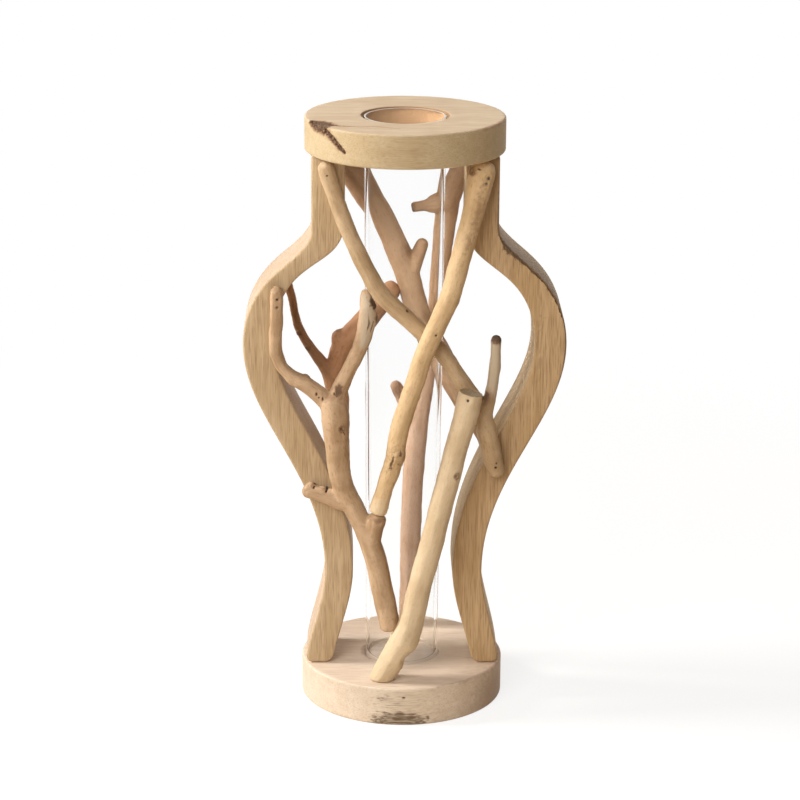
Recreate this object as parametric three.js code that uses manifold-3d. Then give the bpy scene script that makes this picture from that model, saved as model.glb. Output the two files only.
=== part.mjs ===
// Driftwood vase: a glass tube stands in a turned wooden base, between two band-sawn side frames, and
// comes up through a turned wooden top ring. Peeled branches are nailed across the front and the back.
// Millimetres, +Z up, the front faces -Y, and the origin is under the middle of the base.
import * as THREE from "three";
import { mergeVertices } from "three/addons/utils/BufferGeometryUtils.js";
import Module from "manifold-3d";

const wasm = await Module();
wasm.setup();

// Clearances
const SEAT_GAP = 0.3; // between pieces that touch
const TUBE_CLEARANCE = 0.8; // between the tube and the branches that pass it
const BORE_CLEARANCE = 0.9; // round the tube's mouth, in the top ring
const RECESS_CLEARANCE = 0.6; // round the tube's foot, in the base
const PIN_CLEARANCE = 0.3; // round dowels, screws and brads

// Base disc and top ring
const BASE_RADIUS = 52;
const BASE_THICK = 20;
const RING_RADIUS = 50;
const RING_THICK = 17;
const DISC_EDGE_ROUND = 1.8;
const BORE_EDGE_ROUND = 1.2;
const RECESS_DEPTH = 3;

// Side frames: half spread and width of the board, its drop below the ring or its height above the base
const FRAME_HEIGHT = 268;
const FRAME_THICK = 34;
const FRAME_EDGE_ROUND = 1.8;
const NECK_SPREAD = 37.7;
const NECK_LENGTH = 33.5;
const NECK_WIDTH = 15.6;
const SHOULDER_SPREAD = 54.3;
const SHOULDER_DROP = 58;
const SHOULDER_WIDTH = 10.6;
const SHOULDER_SLOPE = THREE.MathUtils.degToRad(41);
const BELLY_SPREAD = 72.9;
const BELLY_DROP = 97;
const BELLY_WIDTH = 15;
const WAIST_SPREAD = 32.7;
const WAIST_HEIGHT = 51;
const WAIST_WIDTH = 14.4;
const FOOT_SPREAD = 43.2;
const FOOT_WIDTH = 13.7;
const FOOT_LEAN = THREE.MathUtils.degToRad(8);
const FOOT_CORNER = 4;

// The boards are hand-cut: what each adds to its outer and inner edge at the neck, shoulder, belly, waist, foot
const LEFT_OUTER_EXTRA = [1, 0, 0.5, 0, 0];
const LEFT_INNER_EXTRA = [0, -1.6, 0, 0, 0];
const RIGHT_OUTER_EXTRA = [1, 1.4, 1, 0.6, 0];
const RIGHT_INNER_EXTRA = [0, 0, 0, 0, 0];

// Glass tube
const TUBE_RADIUS = 20.3; // under the mouth
const TUBE_TAPER = 1.6; // the foot's radius is this much less
const TUBE_FLARE = 0.6; // the mouth's radius is this much more
const TUBE_FLARE_HEIGHT = 9;
const TUBE_WALL = 1.7;
const TUBE_FLOOR = 3;
const TUBE_FOOT_ROUND = 4;
const TUBE_SUNK = 0.5; // mouth below the ring's top

// Fasteners
const DOWEL_RADIUS = 3;
const DOWEL_IN_RING = 10;
const DOWEL_IN_FRAME = 6;
const PIN_SPACING = 18; // between the two dowels or screws of one frame
const SCREW_RADIUS = 1.8;
const SCREW_HEAD_RADIUS = 3.8;
const SCREW_HEAD_SUNK = 0.8;
const FRAME_SCREW_LENGTH = 36;
const FOOT_SCREW_LENGTH = 28;
const BRAD_RADIUS = 0.6;
const BRAD_SUNK = 0.9;
const FRAME_BRAD_LENGTH = 20;
const BRANCH_BRAD_LENGTH = 16;
const BRAD_UNDER_DOWEL = 2;
const BRAD_SPACING = 2.8; // between the two brads at the top of the front upper branch

// Branches
const CROSS_RADIUS = 3.9; // front cross branch, where the upper branch is nailed over it
const CROSS_FOOT_RADIUS = 4.4; // front cross branch, where the foot branch is nailed over it
const BACK_CROSS_RADIUS = 6.3;
const FOOT_RADIUS = 6.4; // front foot branch, on the base
const FOOT_INSET = 13; // from the base's rim to the middle of a foot branch
const TWIG_LIFT = 2; // a free twig's back, off the face of the frames
const FORK_END_BACK = 2.8; // the fork branch's lower end, behind the foot branch

// Facets
const DISC_SIDES = 44;
const TUBE_SIDES = 36;
const LIMB_SIDES = 10;
const LIMB_STEP = 8;
const CURVE_STEPS = 10;
const ARC_STEPS = 3;
const PIN_SIDES = 10;
const BRAD_SIDES = 6;
const PLACE_STEPS = 200; // for finding a place along a limb

// Planes and depths that follow from the sizes
const FACE = FRAME_THICK / 2;
const RING_UNDER = BASE_THICK + FRAME_HEIGHT;
const RING_TOP = RING_UNDER + RING_THICK;
const TUBE_FOOT_RADIUS = TUBE_RADIUS - TUBE_TAPER;
const TUBE_MOUTH_RADIUS = TUBE_RADIUS + TUBE_FLARE;
const TUBE_LIFT = Math.max(TUBE_RADIUS + TUBE_CLEARANCE - FACE - SEAT_GAP, 0);
const OVER_CROSS = TUBE_LIFT + 2 * CROSS_RADIUS + SEAT_GAP;
const OVER_CROSS_FOOT = 2 * CROSS_FOOT_RADIUS + SEAT_GAP;
const OVER_BACK_CROSS = TUBE_LIFT + 2 * BACK_CROSS_RADIUS + SEAT_GAP;
const FOOT_LIFT = BASE_RADIUS - FOOT_INSET - FOOT_RADIUS - FACE - SEAT_GAP;
const FORK_STUB_LIFT = 0.4 * FOOT_LIFT;
const FRONT = -1;
const BACK = 1;
const LEFT = -1;
const RIGHT = 1;

// Wood and glass finishes
const frameWood = new THREE.MeshStandardMaterial({ color: 0xd2b083, roughness: 0.7, metalness: 0 });
const branchWood = new THREE.MeshStandardMaterial({ color: 0xcfa877, roughness: 0.75, metalness: 0 });
const dowelWood = new THREE.MeshStandardMaterial({ color: 0xd8bd94, roughness: 0.7, metalness: 0 });
const steel = new THREE.MeshStandardMaterial({ color: 0x8a8580, roughness: 0.4, metalness: 1 });
const glass = new THREE.MeshStandardMaterial({
  color: 0xf2f6f5,
  roughness: 0.03,
  metalness: 0,
  transparent: true,
  opacity: 0.25,
});

// A closed geometry as a solid for cutting and joining
function solid(geometry) {
  geometry.deleteAttribute("normal");
  geometry.deleteAttribute("uv");
  const merged = mergeVertices(geometry);
  return new wasm.Manifold(
    new wasm.Mesh({
      numProp: 3,
      vertProperties: new Float32Array(merged.attributes.position.array),
      triVerts: new Uint32Array(merged.index.array),
    }),
  );
}

// A solid as a named mesh
function part(name, made, material) {
  const { vertProperties, triVerts } = made.getMesh();
  const geometry = new THREE.BufferGeometry();
  geometry.setAttribute("position", new THREE.BufferAttribute(vertProperties, 3));
  geometry.setIndex(new THREE.BufferAttribute(triVerts, 1));
  geometry.computeVertexNormals();
  const mesh = new THREE.Mesh(geometry, material);
  mesh.name = name;
  return mesh;
}

// A profile of [radius, height] points turned about the Z axis
function turned(profile, sides = DISC_SIDES) {
  const points = profile.map(([radius, height]) => new THREE.Vector2(radius, height));
  return solid(new THREE.LatheGeometry(points, sides).rotateX(Math.PI / 2));
}

// Points of a quarter round, from one angle to the other
function arc(radius, height, round, from, to) {
  return Array.from({ length: ARC_STEPS + 1 }, (_, i) => {
    const angle = THREE.MathUtils.degToRad(from + ((to - from) * i) / ARC_STEPS);
    return [radius + round * Math.cos(angle), height + round * Math.sin(angle)];
  });
}

// A straight round pin from one point to another
function pin(from, to, radius, sides = PIN_SIDES) {
  const along = to.clone().sub(from);
  const upright = new THREE.Vector3(0, 1, 0);
  const turn = new THREE.Quaternion().setFromUnitVectors(upright, along.clone().normalize());
  const geometry = new THREE.CylinderGeometry(radius, radius, along.length(), sides);
  geometry.applyQuaternion(turn);
  geometry.translate(...from.clone().addScaledVector(along, 0.5).toArray());
  return solid(geometry);
}

// Base disc, with the recess that the tube stands in
function baseDisc() {
  const recess = TUBE_FOOT_RADIUS + RECESS_CLEARANCE;
  const rim = BASE_RADIUS - DISC_EDGE_ROUND;
  return turned([
    [0, 0],
    ...arc(rim, DISC_EDGE_ROUND, DISC_EDGE_ROUND, -90, 0),
    ...arc(rim, BASE_THICK - DISC_EDGE_ROUND, DISC_EDGE_ROUND, 0, 90),
    [recess, BASE_THICK],
    [recess, BASE_THICK - RECESS_DEPTH],
    [0, BASE_THICK - RECESS_DEPTH],
  ]);
}

// Top ring, with the bore that the tube comes up through
function topRing() {
  const bore = TUBE_MOUTH_RADIUS + BORE_CLEARANCE;
  const rim = RING_RADIUS - DISC_EDGE_ROUND;
  return turned([
    [bore, RING_UNDER],
    ...arc(rim, RING_UNDER + DISC_EDGE_ROUND, DISC_EDGE_ROUND, -90, 0),
    ...arc(rim, RING_TOP - DISC_EDGE_ROUND, DISC_EDGE_ROUND, 0, 90),
    ...arc(bore + BORE_EDGE_ROUND, RING_TOP - BORE_EDGE_ROUND, BORE_EDGE_ROUND, 90, 180),
    [bore, RING_UNDER],
  ]);
}

// Glass tube: a tapered wall on a thick floor, flared a little at the mouth
function glassTube() {
  const bottom = BASE_THICK - RECESS_DEPTH + SEAT_GAP;
  const mouth = RING_TOP - TUBE_SUNK;
  const inner = TUBE_FOOT_ROUND - TUBE_WALL;
  const corner = TUBE_FOOT_RADIUS - TUBE_FOOT_ROUND;
  const lip = TUBE_WALL / 2;
  const profile = [
    [0, bottom],
    ...arc(corner, bottom + TUBE_FOOT_ROUND, TUBE_FOOT_ROUND, -90, 0),
    [TUBE_RADIUS, mouth - TUBE_FLARE_HEIGHT],
    ...arc(TUBE_MOUTH_RADIUS - lip, mouth - lip, lip, 0, 180),
    [TUBE_RADIUS - TUBE_WALL, mouth - TUBE_FLARE_HEIGHT],
    ...arc(corner, bottom + TUBE_FLOOR + inner, inner, 0, -90),
    [0, bottom + TUBE_FLOOR],
  ];
  return turned(profile, TUBE_SIDES);
}

// One smooth stretch of the frame's middle line, its handles given as shares of the straight distance
function stretch(from, fromWay, fromShare, to, toWay, toShare) {
  const distance = from.distanceTo(to);
  return new THREE.CubicBezierCurve(
    from,
    from.clone().addScaledVector(fromWay, fromShare * distance),
    to.clone().addScaledVector(toWay, -toShare * distance),
    to,
  );
}

// The frame's middle line from the ring down to the base, with the board's width at each sample
function frameLine() {
  const down = new THREE.Vector2(0, -1);
  const shoulderWay = new THREE.Vector2(Math.cos(SHOULDER_SLOPE), -Math.sin(SHOULDER_SLOPE));
  const footWay = new THREE.Vector2(Math.sin(FOOT_LEAN), -Math.cos(FOOT_LEAN));
  const top = new THREE.Vector2(NECK_SPREAD, RING_UNDER - SEAT_GAP);
  const neck = new THREE.Vector2(NECK_SPREAD, RING_UNDER - NECK_LENGTH);
  const shoulder = new THREE.Vector2(SHOULDER_SPREAD, RING_UNDER - SHOULDER_DROP);
  const belly = new THREE.Vector2(BELLY_SPREAD, RING_UNDER - BELLY_DROP);
  const waist = new THREE.Vector2(WAIST_SPREAD, BASE_THICK + WAIST_HEIGHT);
  const foot = new THREE.Vector2(FOOT_SPREAD, BASE_THICK + SEAT_GAP);
  const runs = [
    [stretch(neck, down, 0.37, shoulder, shoulderWay, 0.5), NECK_WIDTH, SHOULDER_WIDTH],
    [stretch(shoulder, shoulderWay, 0.24, belly, down, 0.5), SHOULDER_WIDTH, BELLY_WIDTH],
    [stretch(belly, down, 0.28, waist, down, 0.42), BELLY_WIDTH, WAIST_WIDTH],
    [stretch(waist, down, 0.3, foot, footWay, 0.29), WAIST_WIDTH, FOOT_WIDTH],
  ];
  const line = [{ point: top, way: down, width: NECK_WIDTH, run: 0, blend: 0 }];
  for (const [run, [curve, fromWidth, toWidth]] of runs.entries()) {
    for (let i = 0; i < CURVE_STEPS; i++) {
      const share = i / CURVE_STEPS;
      const blend = THREE.MathUtils.smoothstep(share, 0, 1);
      const width = THREE.MathUtils.lerp(fromWidth, toWidth, blend);
      line.push({ point: curve.getPoint(share), way: curve.getTangent(share), width, run, blend });
    }
  }
  line.push({ point: foot, way: footWay, width: FOOT_WIDTH, run: runs.length - 1, blend: 1 });
  return line;
}

const FRAME_LINE = frameLine();

// A height given as a percentage of the way up the frames
function rise(percent) {
  return BASE_THICK + (FRAME_HEIGHT * percent) / 100;
}

// Half spread of the frame's middle line there
function spread(percent) {
  const below = FRAME_LINE.findIndex(({ point }) => point.y <= rise(percent));
  if (below <= 0) return FRAME_LINE.at(below).point.x;
  const high = FRAME_LINE[below - 1].point;
  const low = FRAME_LINE[below].point;
  return THREE.MathUtils.mapLinear(rise(percent), low.y, high.y, low.x, high.x);
}

// Side frame: the outline on both sides of its middle line, with a level foot, extruded and rounded
function sideFrame(side, grow = 0) {
  const outerExtra = side === LEFT ? LEFT_OUTER_EXTRA : RIGHT_OUTER_EXTRA;
  const innerExtra = side === LEFT ? LEFT_INNER_EXTRA : RIGHT_INNER_EXTRA;
  const edge = (sign) =>
    FRAME_LINE.map(({ point, way, width, run, blend }) => {
      const extra = sign > 0 ? outerExtra : innerExtra;
      const across = new THREE.Vector2(-way.y, way.x);
      const reach = width / 2 + THREE.MathUtils.lerp(extra[run], extra[run + 1], blend);
      return point.clone().addScaledVector(across, sign * reach);
    });
  const { point: foot, way } = FRAME_LINE.at(-1);
  const level = (corner) => corner.clone().addScaledVector(way, (corner.y - foot.y) / -way.y);
  const aboveCorner = ({ y }) => y > foot.y + 2 * FOOT_CORNER;
  const outerCorner = level(edge(1).at(-1));
  const innerCorner = level(edge(-1).at(-1));
  const outer = edge(1).filter(aboveCorner);
  const inner = edge(-1).filter(aboveCorner);
  const at = ({ x, y }) => [side * x, y];
  const shape = new THREE.Shape();
  shape.moveTo(...at(inner[0]));
  for (const point of outer) shape.lineTo(...at(point));
  shape.lineTo(...at(outerCorner.clone().addScaledVector(way, -FOOT_CORNER)));
  shape.quadraticCurveTo(...at(outerCorner), ...at(outerCorner.clone().setX(outerCorner.x - FOOT_CORNER)));
  shape.lineTo(...at(innerCorner.clone().setX(innerCorner.x + FOOT_CORNER)));
  shape.quadraticCurveTo(...at(innerCorner), ...at(innerCorner.clone().addScaledVector(way, -FOOT_CORNER)));
  for (const point of inner.slice(1).reverse()) shape.lineTo(...at(point));
  shape.closePath();
  const geometry = new THREE.ExtrudeGeometry(shape, {
    depth: FRAME_THICK - 2 * FRAME_EDGE_ROUND,
    bevelThickness: FRAME_EDGE_ROUND + grow,
    bevelSize: FRAME_EDGE_ROUND + grow,
    bevelOffset: -FRAME_EDGE_ROUND,
    bevelSegments: 2,
    curveSegments: ARC_STEPS,
  });
  geometry.translate(0, 0, FRAME_EDGE_ROUND - FACE);
  return solid(geometry.rotateX(Math.PI / 2));
}

// A limb of a branch, through stations of [across, percent of the way up, radius, lift], where lift is
// how far the limb's back stands off the face of the frames on that side
function limb(side, stations, cuts = {}) {
  const points = stations.map(
    ([across, percent, radius, lift]) =>
      new THREE.Vector3(across, side * (FACE + SEAT_GAP + lift + radius), rise(percent)),
  );
  const curve = new THREE.CatmullRomCurve3(points, false, "centripetal");
  const radii = stations.map(([, , radius]) => radius);
  const radiusAt = (share) => {
    const station = curve.getUtoTmapping(share) * (radii.length - 1);
    const index = Math.min(Math.floor(station), radii.length - 2);
    return THREE.MathUtils.lerp(radii[index], radii[index + 1], station - index);
  };
  return { side, curve, radiusAt, ...cuts };
}

// The end of a limb, from its tip inwards, as [reach past the middle line's end, share of the radius]
const DOME_END = [[0.7, 0], [0.7, 0.4], [0.43, 0.8]];
const CUT_END = [[0.12, 0], [0.12, 0.82], [0.07, 0.94]];

// Rings of a limb's surface along its middle line, with a dome or a cut at each end
function limbRings({ curve, radiusAt, startCut, endCut }, grow) {
  const steps = Math.ceil(curve.getLength() / LIMB_STEP);
  const { tangents, normals, binormals } = curve.computeFrenetFrames(steps);
  const ring = (index, reach, share) => ({
    centre: curve.getPointAt(index / steps).addScaledVector(tangents[index], reach),
    normal: normals[index],
    binormal: binormals[index],
    radius: share * (radiusAt(index / steps) + grow),
  });
  const end = (index, way, rows) =>
    rows.map(([reach, share]) => ring(index, way * (reach * radiusAt(index / steps) + grow), share));
  return [
    ...end(0, -1, startCut ? CUT_END : DOME_END),
    ...Array.from({ length: steps + 1 }, (_, index) => ring(index, 0, 1)),
    ...end(steps, 1, endCut ? CUT_END : DOME_END).reverse(),
  ];
}

// A limb as a solid: a turned surface with one ring per height, each ring laid on the limb's middle line
function limbSolid(one, grow) {
  const rings = limbRings(one, grow);
  const profile = rings.map(({ radius }, index) => new THREE.Vector2(radius, index));
  const geometry = new THREE.LatheGeometry(profile, LIMB_SIDES);
  const positions = geometry.attributes.position;
  const point = new THREE.Vector3();
  for (let i = 0; i < positions.count; i++) {
    const { centre, normal, binormal } = rings[Math.round(positions.getY(i))];
    point.copy(centre);
    point.addScaledVector(normal, positions.getX(i));
    point.addScaledVector(binormal, -positions.getZ(i));
    positions.setXYZ(i, point.x, point.y, point.z);
  }
  return solid(geometry);
}

// A branch as one solid: its limbs joined
function branch(limbs, grow = 0) {
  return limbs.map((one) => limbSolid(one, grow)).reduce((all, one) => all.add(one));
}

// Front cross branch: from the left neck, over the tube, down to the right frame, with a side twig
const crossStem = limb(FRONT, [
  [-spread(98.2) - 1.7, 98.2, 3.9, 0],
  [-spread(94.3) + 1.8, 94.3, 3.9, 0],
  [-spread(89.6) + 5.9, 89.6, 4, 0],
  [-26, 84.5, 3.9, 0.3 * TUBE_LIFT],
  [-19.6, 79.5, 4.1, 0.7 * TUBE_LIFT],
  [-12.4, 74.9, 4.3, TUBE_LIFT],
  [-4.9, 71.9, 4.1, TUBE_LIFT],
  [2.4, 69.5, 4, TUBE_LIFT],
  [13.6, 65.4, CROSS_RADIUS, TUBE_LIFT],
  [21.2, 62, 3.9, 0.6 * TUBE_LIFT],
  [28.4, 57.4, 4.3, 0.1 * TUBE_LIFT],
  [34.8, 54.1, CROSS_FOOT_RADIUS, 0],
  [39.7, 50.5, 4.9, 0],
  [42.7, 46.2, 5, 0],
  [spread(43) - 7, 43, 4.9, 0],
  [spread(39.8) - 0.4, 39.8, 4.3, 0],
]);
const crossTwig = limb(FRONT, [
  [40.8, 49.8, 3.2, 0.5 * TWIG_LIFT],
  [43.1, 54.2, 3, 0.9 * TWIG_LIFT],
  [45, 58.3, 2.7, TWIG_LIFT],
  [45.7, 63, 2.6, TWIG_LIFT],
  [45.7, 65.7, 2.4, TWIG_LIFT],
]);
const crossLimbs = [crossStem, crossTwig];

// Front foot branch: from the base, leaning right, nailed over the cross branch
const footStem = limb(
  FRONT,
  [
    [-13.4, -2.2, FOOT_RADIUS, FOOT_LIFT],
    [-10.2, 0.7, 5.9, FOOT_LIFT],
    [-4.6, 4.6, 6.4, FOOT_LIFT],
    [1.2, 8.4, 7.2, FOOT_LIFT],
    [4.3, 11.8, 6, FOOT_LIFT - 0.8],
    [7.5, 17.5, 5.7, FOOT_LIFT - 1.3],
    [12.9, 25.2, 5.9, FOOT_LIFT - 3],
    [18.9, 34.3, 5.7, OVER_CROSS_FOOT + 1.6],
    [25.9, 45.4, 5.7, OVER_CROSS_FOOT + 0.3],
    [29.9, 50.9, 6, OVER_CROSS_FOOT],
    [32.9, 56.4, 6.1, OVER_CROSS_FOOT],
  ],
  { endCut: true },
);
const footLimbs = [footStem];

// Front fork branch: from beside the foot branch, up the left frame, forked, with two broken stubs
const forkTrunk = limb(
  FRONT,
  [
    [-6.6, 10, 5.1, FOOT_LIFT - FORK_END_BACK],
    [-8.6, 14.1, 5.3, 0.78 * FOOT_LIFT],
    [-10.8, 17.7, 5.4, 0.58 * FOOT_LIFT],
    [-14.2, 23.3, 5.4, 0.36 * FOOT_LIFT],
    [-19.2, 28.2, 5.2, 0.2 * FOOT_LIFT],
    [-26.1, 33.2, 5.2, 0],
    [-30.9, 37.1, 5.4, 0],
    [-33.2, 41.5, 5.8, 0],
    [-33.7, 45.9, 6.2, 0],
    [-34.4, 50.1, 7.1, 0],
    [-35.3, 53.2, 6.3, 0.3],
  ],
  { startCut: true },
);
const forkLeftTwig = limb(FRONT, [
  [-37.2, 52.8, 4.3, 0.8],
  [-43.2, 55.1, 4.2, 0.5],
  [-50.2, 57, 3.9, 0.5],
  [-spread(58.8) + 11.8, 58.8, 3.2, 0.3],
  [-spread(61.8) + 8.9, 61.8, 3.1, 0.1],
  [-spread(63.9) + 8.2, 63.9, 3.2, 0],
  [-spread(67.4) + 8.1, 67.4, 3.1, 0],
  [-spread(72) + 4.5, 72, 3.2, 0],
  [-spread(74.7) + 0.2, 74.7, 3, 0],
]);
const forkRightLimb = limb(FRONT, [
  [-34.2, 53.8, 4.3, 0.8],
  [-30.8, 57.3, 3.8, 0.8],
  [-26.2, 60.7, 3.6, 0.6],
  [-21.9, 64.3, 3.7, 0.5],
  [-19.2, 67.7, 4.2, 0.4],
  [-18.1, 70.8, 4.7, 0.4],
  [-19.4, 73.5, 3, 0.8 * TWIG_LIFT],
  [-19.7, 74.5, 2.4, TWIG_LIFT],
]);
const forkLeftStub = limb(FRONT, [
  [-31.1, 33.4, 4.3, 0.6],
  [-38.6, 34.7, 3.9, 0],
  [-spread(35.5) - 3.3, 35.5, 3.8, 0],
  [-spread(35.7) - 6.4, 35.7, 3.6, 0],
]);
const forkRightStub = limb(
  FRONT,
  [
    [-16.4, 25.4, 4.2, 0.34 * FOOT_LIFT],
    [-14.7, 29, 4.4, FORK_STUB_LIFT],
    [-13.4, 31.4, 4.5, FORK_STUB_LIFT],
  ],
  { endCut: true },
);
const forkLimbs = [forkTrunk, forkLeftTwig, forkRightLimb, forkLeftStub, forkRightStub];

// Front upper branch: from the right neck, over the cross branch, down to the stub of the fork branch
const upperStem = limb(
  FRONT,
  [
    [spread(98) + 0.4, 98, 6.1, 0],
    [spread(96.7) - 0.6, 96.7, 6.6, 0.2],
    [spread(94.2) - 2.3, 94.2, 6, 0.07 * OVER_CROSS],
    [spread(91.7) - 3.7, 91.7, 5.4, 0.17 * OVER_CROSS],
    [32.1, 88.6, 5.1, 0.3 * OVER_CROSS],
    [28.3, 83.4, 5, 0.55 * OVER_CROSS],
    [25.4, 79.4, 5.1, 0.72 * OVER_CROSS],
    [22, 74.9, 5.1, 0.9 * OVER_CROSS],
    [17.8, 71.2, 4.8, OVER_CROSS],
    [13.6, 67.6, 4.8, OVER_CROSS],
    [9.5, 63.9, 4.6, OVER_CROSS],
    [5.3, 58.5, 4.6, 0.97 * OVER_CROSS],
    [0.4, 52.9, 4.7, 0.9 * OVER_CROSS],
    [-3.5, 47.1, 4.6, 0.8 * OVER_CROSS],
    [-5, 42.8, 4.6, 0.68 * OVER_CROSS],
    [-8.7, 38.4, 4.3, FORK_STUB_LIFT + 1],
    [-12.9, 32.6, 4.3, FORK_STUB_LIFT],
  ],
  { endCut: true },
);
const upperBump = limb(FRONT, [
  [21.8, 74.2, 4, 0.9 * OVER_CROSS],
  [24.6, 74.1, 3, 0.9 * OVER_CROSS],
]);
const upperLimbs = [upperStem, upperBump];

// Back cross branch: from the left neck, behind the tube, down to the right frame, with a broken stub
const backCrossStem = limb(BACK, [
  [-spread(97.8) + 3.5, 97.8, 5.8, 0],
  [-24.6, 92.5, 6.8, 0.3 * TUBE_LIFT],
  [-9.2, 83.1, 6.1, TUBE_LIFT],
  [1, 74.3, BACK_CROSS_RADIUS, TUBE_LIFT],
  [9, 64.6, BACK_CROSS_RADIUS, TUBE_LIFT],
  [22.4, 55.2, BACK_CROSS_RADIUS, 0.5 * TUBE_LIFT],
  [33.5, 47.8, 6, 0],
  [spread(41.4) - 5, 41.4, 5.4, 0],
  [spread(38) + 1, 38, 5, 0],
]);
const backCrossStub = limb(BACK, [
  [3, 72.8, 4.4, TUBE_LIFT + 1.4],
  [7, 76.5, 3.8, TUBE_LIFT + 1.8],
  [9.9, 79.5, 3.4, TUBE_LIFT + TWIG_LIFT],
]);
const backCrossLimbs = [backCrossStem, backCrossStub];

// Back upper branch: from the right neck, nailed over the back cross branch, with a broken stub
const backUpperStem = limb(BACK, [
  [spread(97.8) - 2.5, 97.8, 5.8, 0],
  [25, 90.3, 5.6, 0.35 * OVER_BACK_CROSS],
  [21.3, 80.2, 4.7, 0.75 * OVER_BACK_CROSS],
  [18.3, 68.7, 3.8, OVER_BACK_CROSS],
  [16.4, 60.6, 3.3, OVER_BACK_CROSS],
]);
const backUpperStub = limb(
  BACK,
  [
    [23.5, 87.4, 5.6, 0.4 * OVER_BACK_CROSS],
    [18.6, 87.2, 4.6, 0.42 * OVER_BACK_CROSS],
    [14.4, 87, 3, 0.46 * OVER_BACK_CROSS],
    [10.4, 86.8, 2.4, 0.5 * OVER_BACK_CROSS],
    [4.5, 86.4, 2.6, 0.5 * OVER_BACK_CROSS],
  ],
  { endCut: true },
);
const backUpperLimbs = [backUpperStem, backUpperStub];

// Back foot branch: stands on the base behind the tube, nailed over the back cross branch
const backFootStem = limb(
  BACK,
  [
    [5, -2.2, 5.6, FOOT_LIFT + 0.6],
    [5.2, 15, 5.6, FOOT_LIFT + 0.6],
    [6.5, 31.7, 5.6, OVER_BACK_CROSS + 0.4],
    [10.5, 45.5, 5.6, OVER_BACK_CROSS],
    [16, 55, 5.4, OVER_BACK_CROSS],
  ],
  { endCut: true },
);
const backFootStub = limb(BACK, [
  [7.6, 41, 4, OVER_BACK_CROSS + 1.6],
  [0.7, 46.8, 3.6, OVER_BACK_CROSS + 1.6],
  [-3.6, 49.9, 2.9, OVER_BACK_CROSS + TWIG_LIFT],
]);
const backFootLimbs = [backFootStem, backFootStub];

// Back fork branch: up the left frame, forked, its thick arm butted against the back cross branch
const backForkTrunk = limb(BACK, [
  [-spread(28.4) + 1.5, 28.4, 5.2, 0],
  [-33, 33.6, 5.4, 0],
  [-33.6, 42.5, 5.3, 0.3],
  [-33.6, 49.3, 5.6, 0.4],
  [-36, 54.5, 5.6, 0.4],
]);
const backForkTwig = limb(BACK, [
  [-33, 51.5, 4.6, 1],
  [-41.5, 56.2, 2.9, 1],
  [-49, 60.2, 2.2, 0.6],
  [-53.8, 63.6, 2.1, 0.3],
  [-57.3, 69.8, 2.1, 0],
  [-spread(75) + 1.8, 75, 2.1, 0],
]);
const backForkArm = limb(BACK, [
  [-34.5, 53, 5.4, 0.6],
  [-31, 59.3, 5.8, 0.6],
  [-20, 64.2, 5.8, 0.4 * TUBE_LIFT],
  [-6, 70.5, 5, TUBE_LIFT],
]);
const backForkKnob = limb(BACK, [
  [-31.5, 58.6, 4.6, 1.4],
  [-33.2, 61.6, 3.8, 1.8],
]);
const backForkLimbs = [backForkTrunk, backForkTwig, backForkArm, backForkKnob];

// Solids, each branch cut back where an earlier piece crosses it
const frameSeats = sideFrame(LEFT, SEAT_GAP).add(sideFrame(RIGHT, SEAT_GAP));
const baseBlock = new THREE.BoxGeometry(2 * BASE_RADIUS, 2 * BASE_RADIUS, BASE_THICK);
const baseSeat = solid(baseBlock.translate(0, 0, BASE_THICK / 2 + SEAT_GAP));
const crossSeat = branch(crossLimbs, SEAT_GAP);
const footSeat = branch(footLimbs, SEAT_GAP);
const forkSeat = branch(forkLimbs, SEAT_GAP);
const backCrossSeat = branch(backCrossLimbs, SEAT_GAP);

const pieces = new Map();

function add(name, made, material) {
  pieces.set(name, { made, material });
}

add("base_disc", baseDisc(), frameWood);
add("top_ring", topRing(), frameWood);
add("left_side_frame", sideFrame(LEFT), frameWood);
add("right_side_frame", sideFrame(RIGHT), frameWood);
add("glass_tube", glassTube(), glass);
const branches = [
  ["front_cross_branch", crossLimbs, [frameSeats]],
  ["front_foot_branch", footLimbs, [baseSeat, crossSeat]],
  ["front_fork_branch", forkLimbs, [frameSeats, crossSeat, footSeat]],
  ["front_upper_branch", upperLimbs, [frameSeats, crossSeat, forkSeat]],
  ["back_cross_branch", backCrossLimbs, [frameSeats]],
  ["back_upper_branch", backUpperLimbs, [frameSeats, backCrossSeat]],
  ["back_foot_branch", backFootLimbs, [baseSeat, backCrossSeat]],
  ["back_fork_branch", backForkLimbs, [frameSeats, backCrossSeat]],
];
for (const [name, limbs, seats] of branches) {
  add(name, seats.reduce((made, seat) => made.subtract(seat), branch(limbs)), branchWood);
}

// A fastener as a piece of its own, with a hole for it in each piece that it goes through
function fasten(name, made, hole, material, holders) {
  for (const holder of holders) {
    const piece = pieces.get(holder);
    piece.made = piece.made.subtract(hole);
  }
  add(name, made, material);
}

// A countersunk wood screw pointing up, or the hole that it needs
function screw(length, grow = 0) {
  const bottom = grow > 0 ? -SCREW_HEAD_SUNK : SCREW_HEAD_SUNK;
  const cone = SCREW_HEAD_RADIUS - SCREW_RADIUS;
  const tip = SCREW_HEAD_SUNK + length + grow;
  const profile = [
    [0, bottom],
    [SCREW_HEAD_RADIUS + grow, bottom],
    [SCREW_HEAD_RADIUS + grow, SCREW_HEAD_SUNK + grow],
    [SCREW_RADIUS + grow, SCREW_HEAD_SUNK + cone + grow],
    [SCREW_RADIUS + grow, tip - 2 * SCREW_RADIUS],
    [0, tip],
  ];
  return turned(profile, PIN_SIDES);
}

function screwFromBelow(name, x, y, length, holder) {
  const made = screw(length).translate([x, y, 0]);
  const hole = screw(length, PIN_CLEARANCE).translate([x, y, 0]);
  fasten(name, made, hole, steel, ["base_disc", holder]);
}

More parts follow.
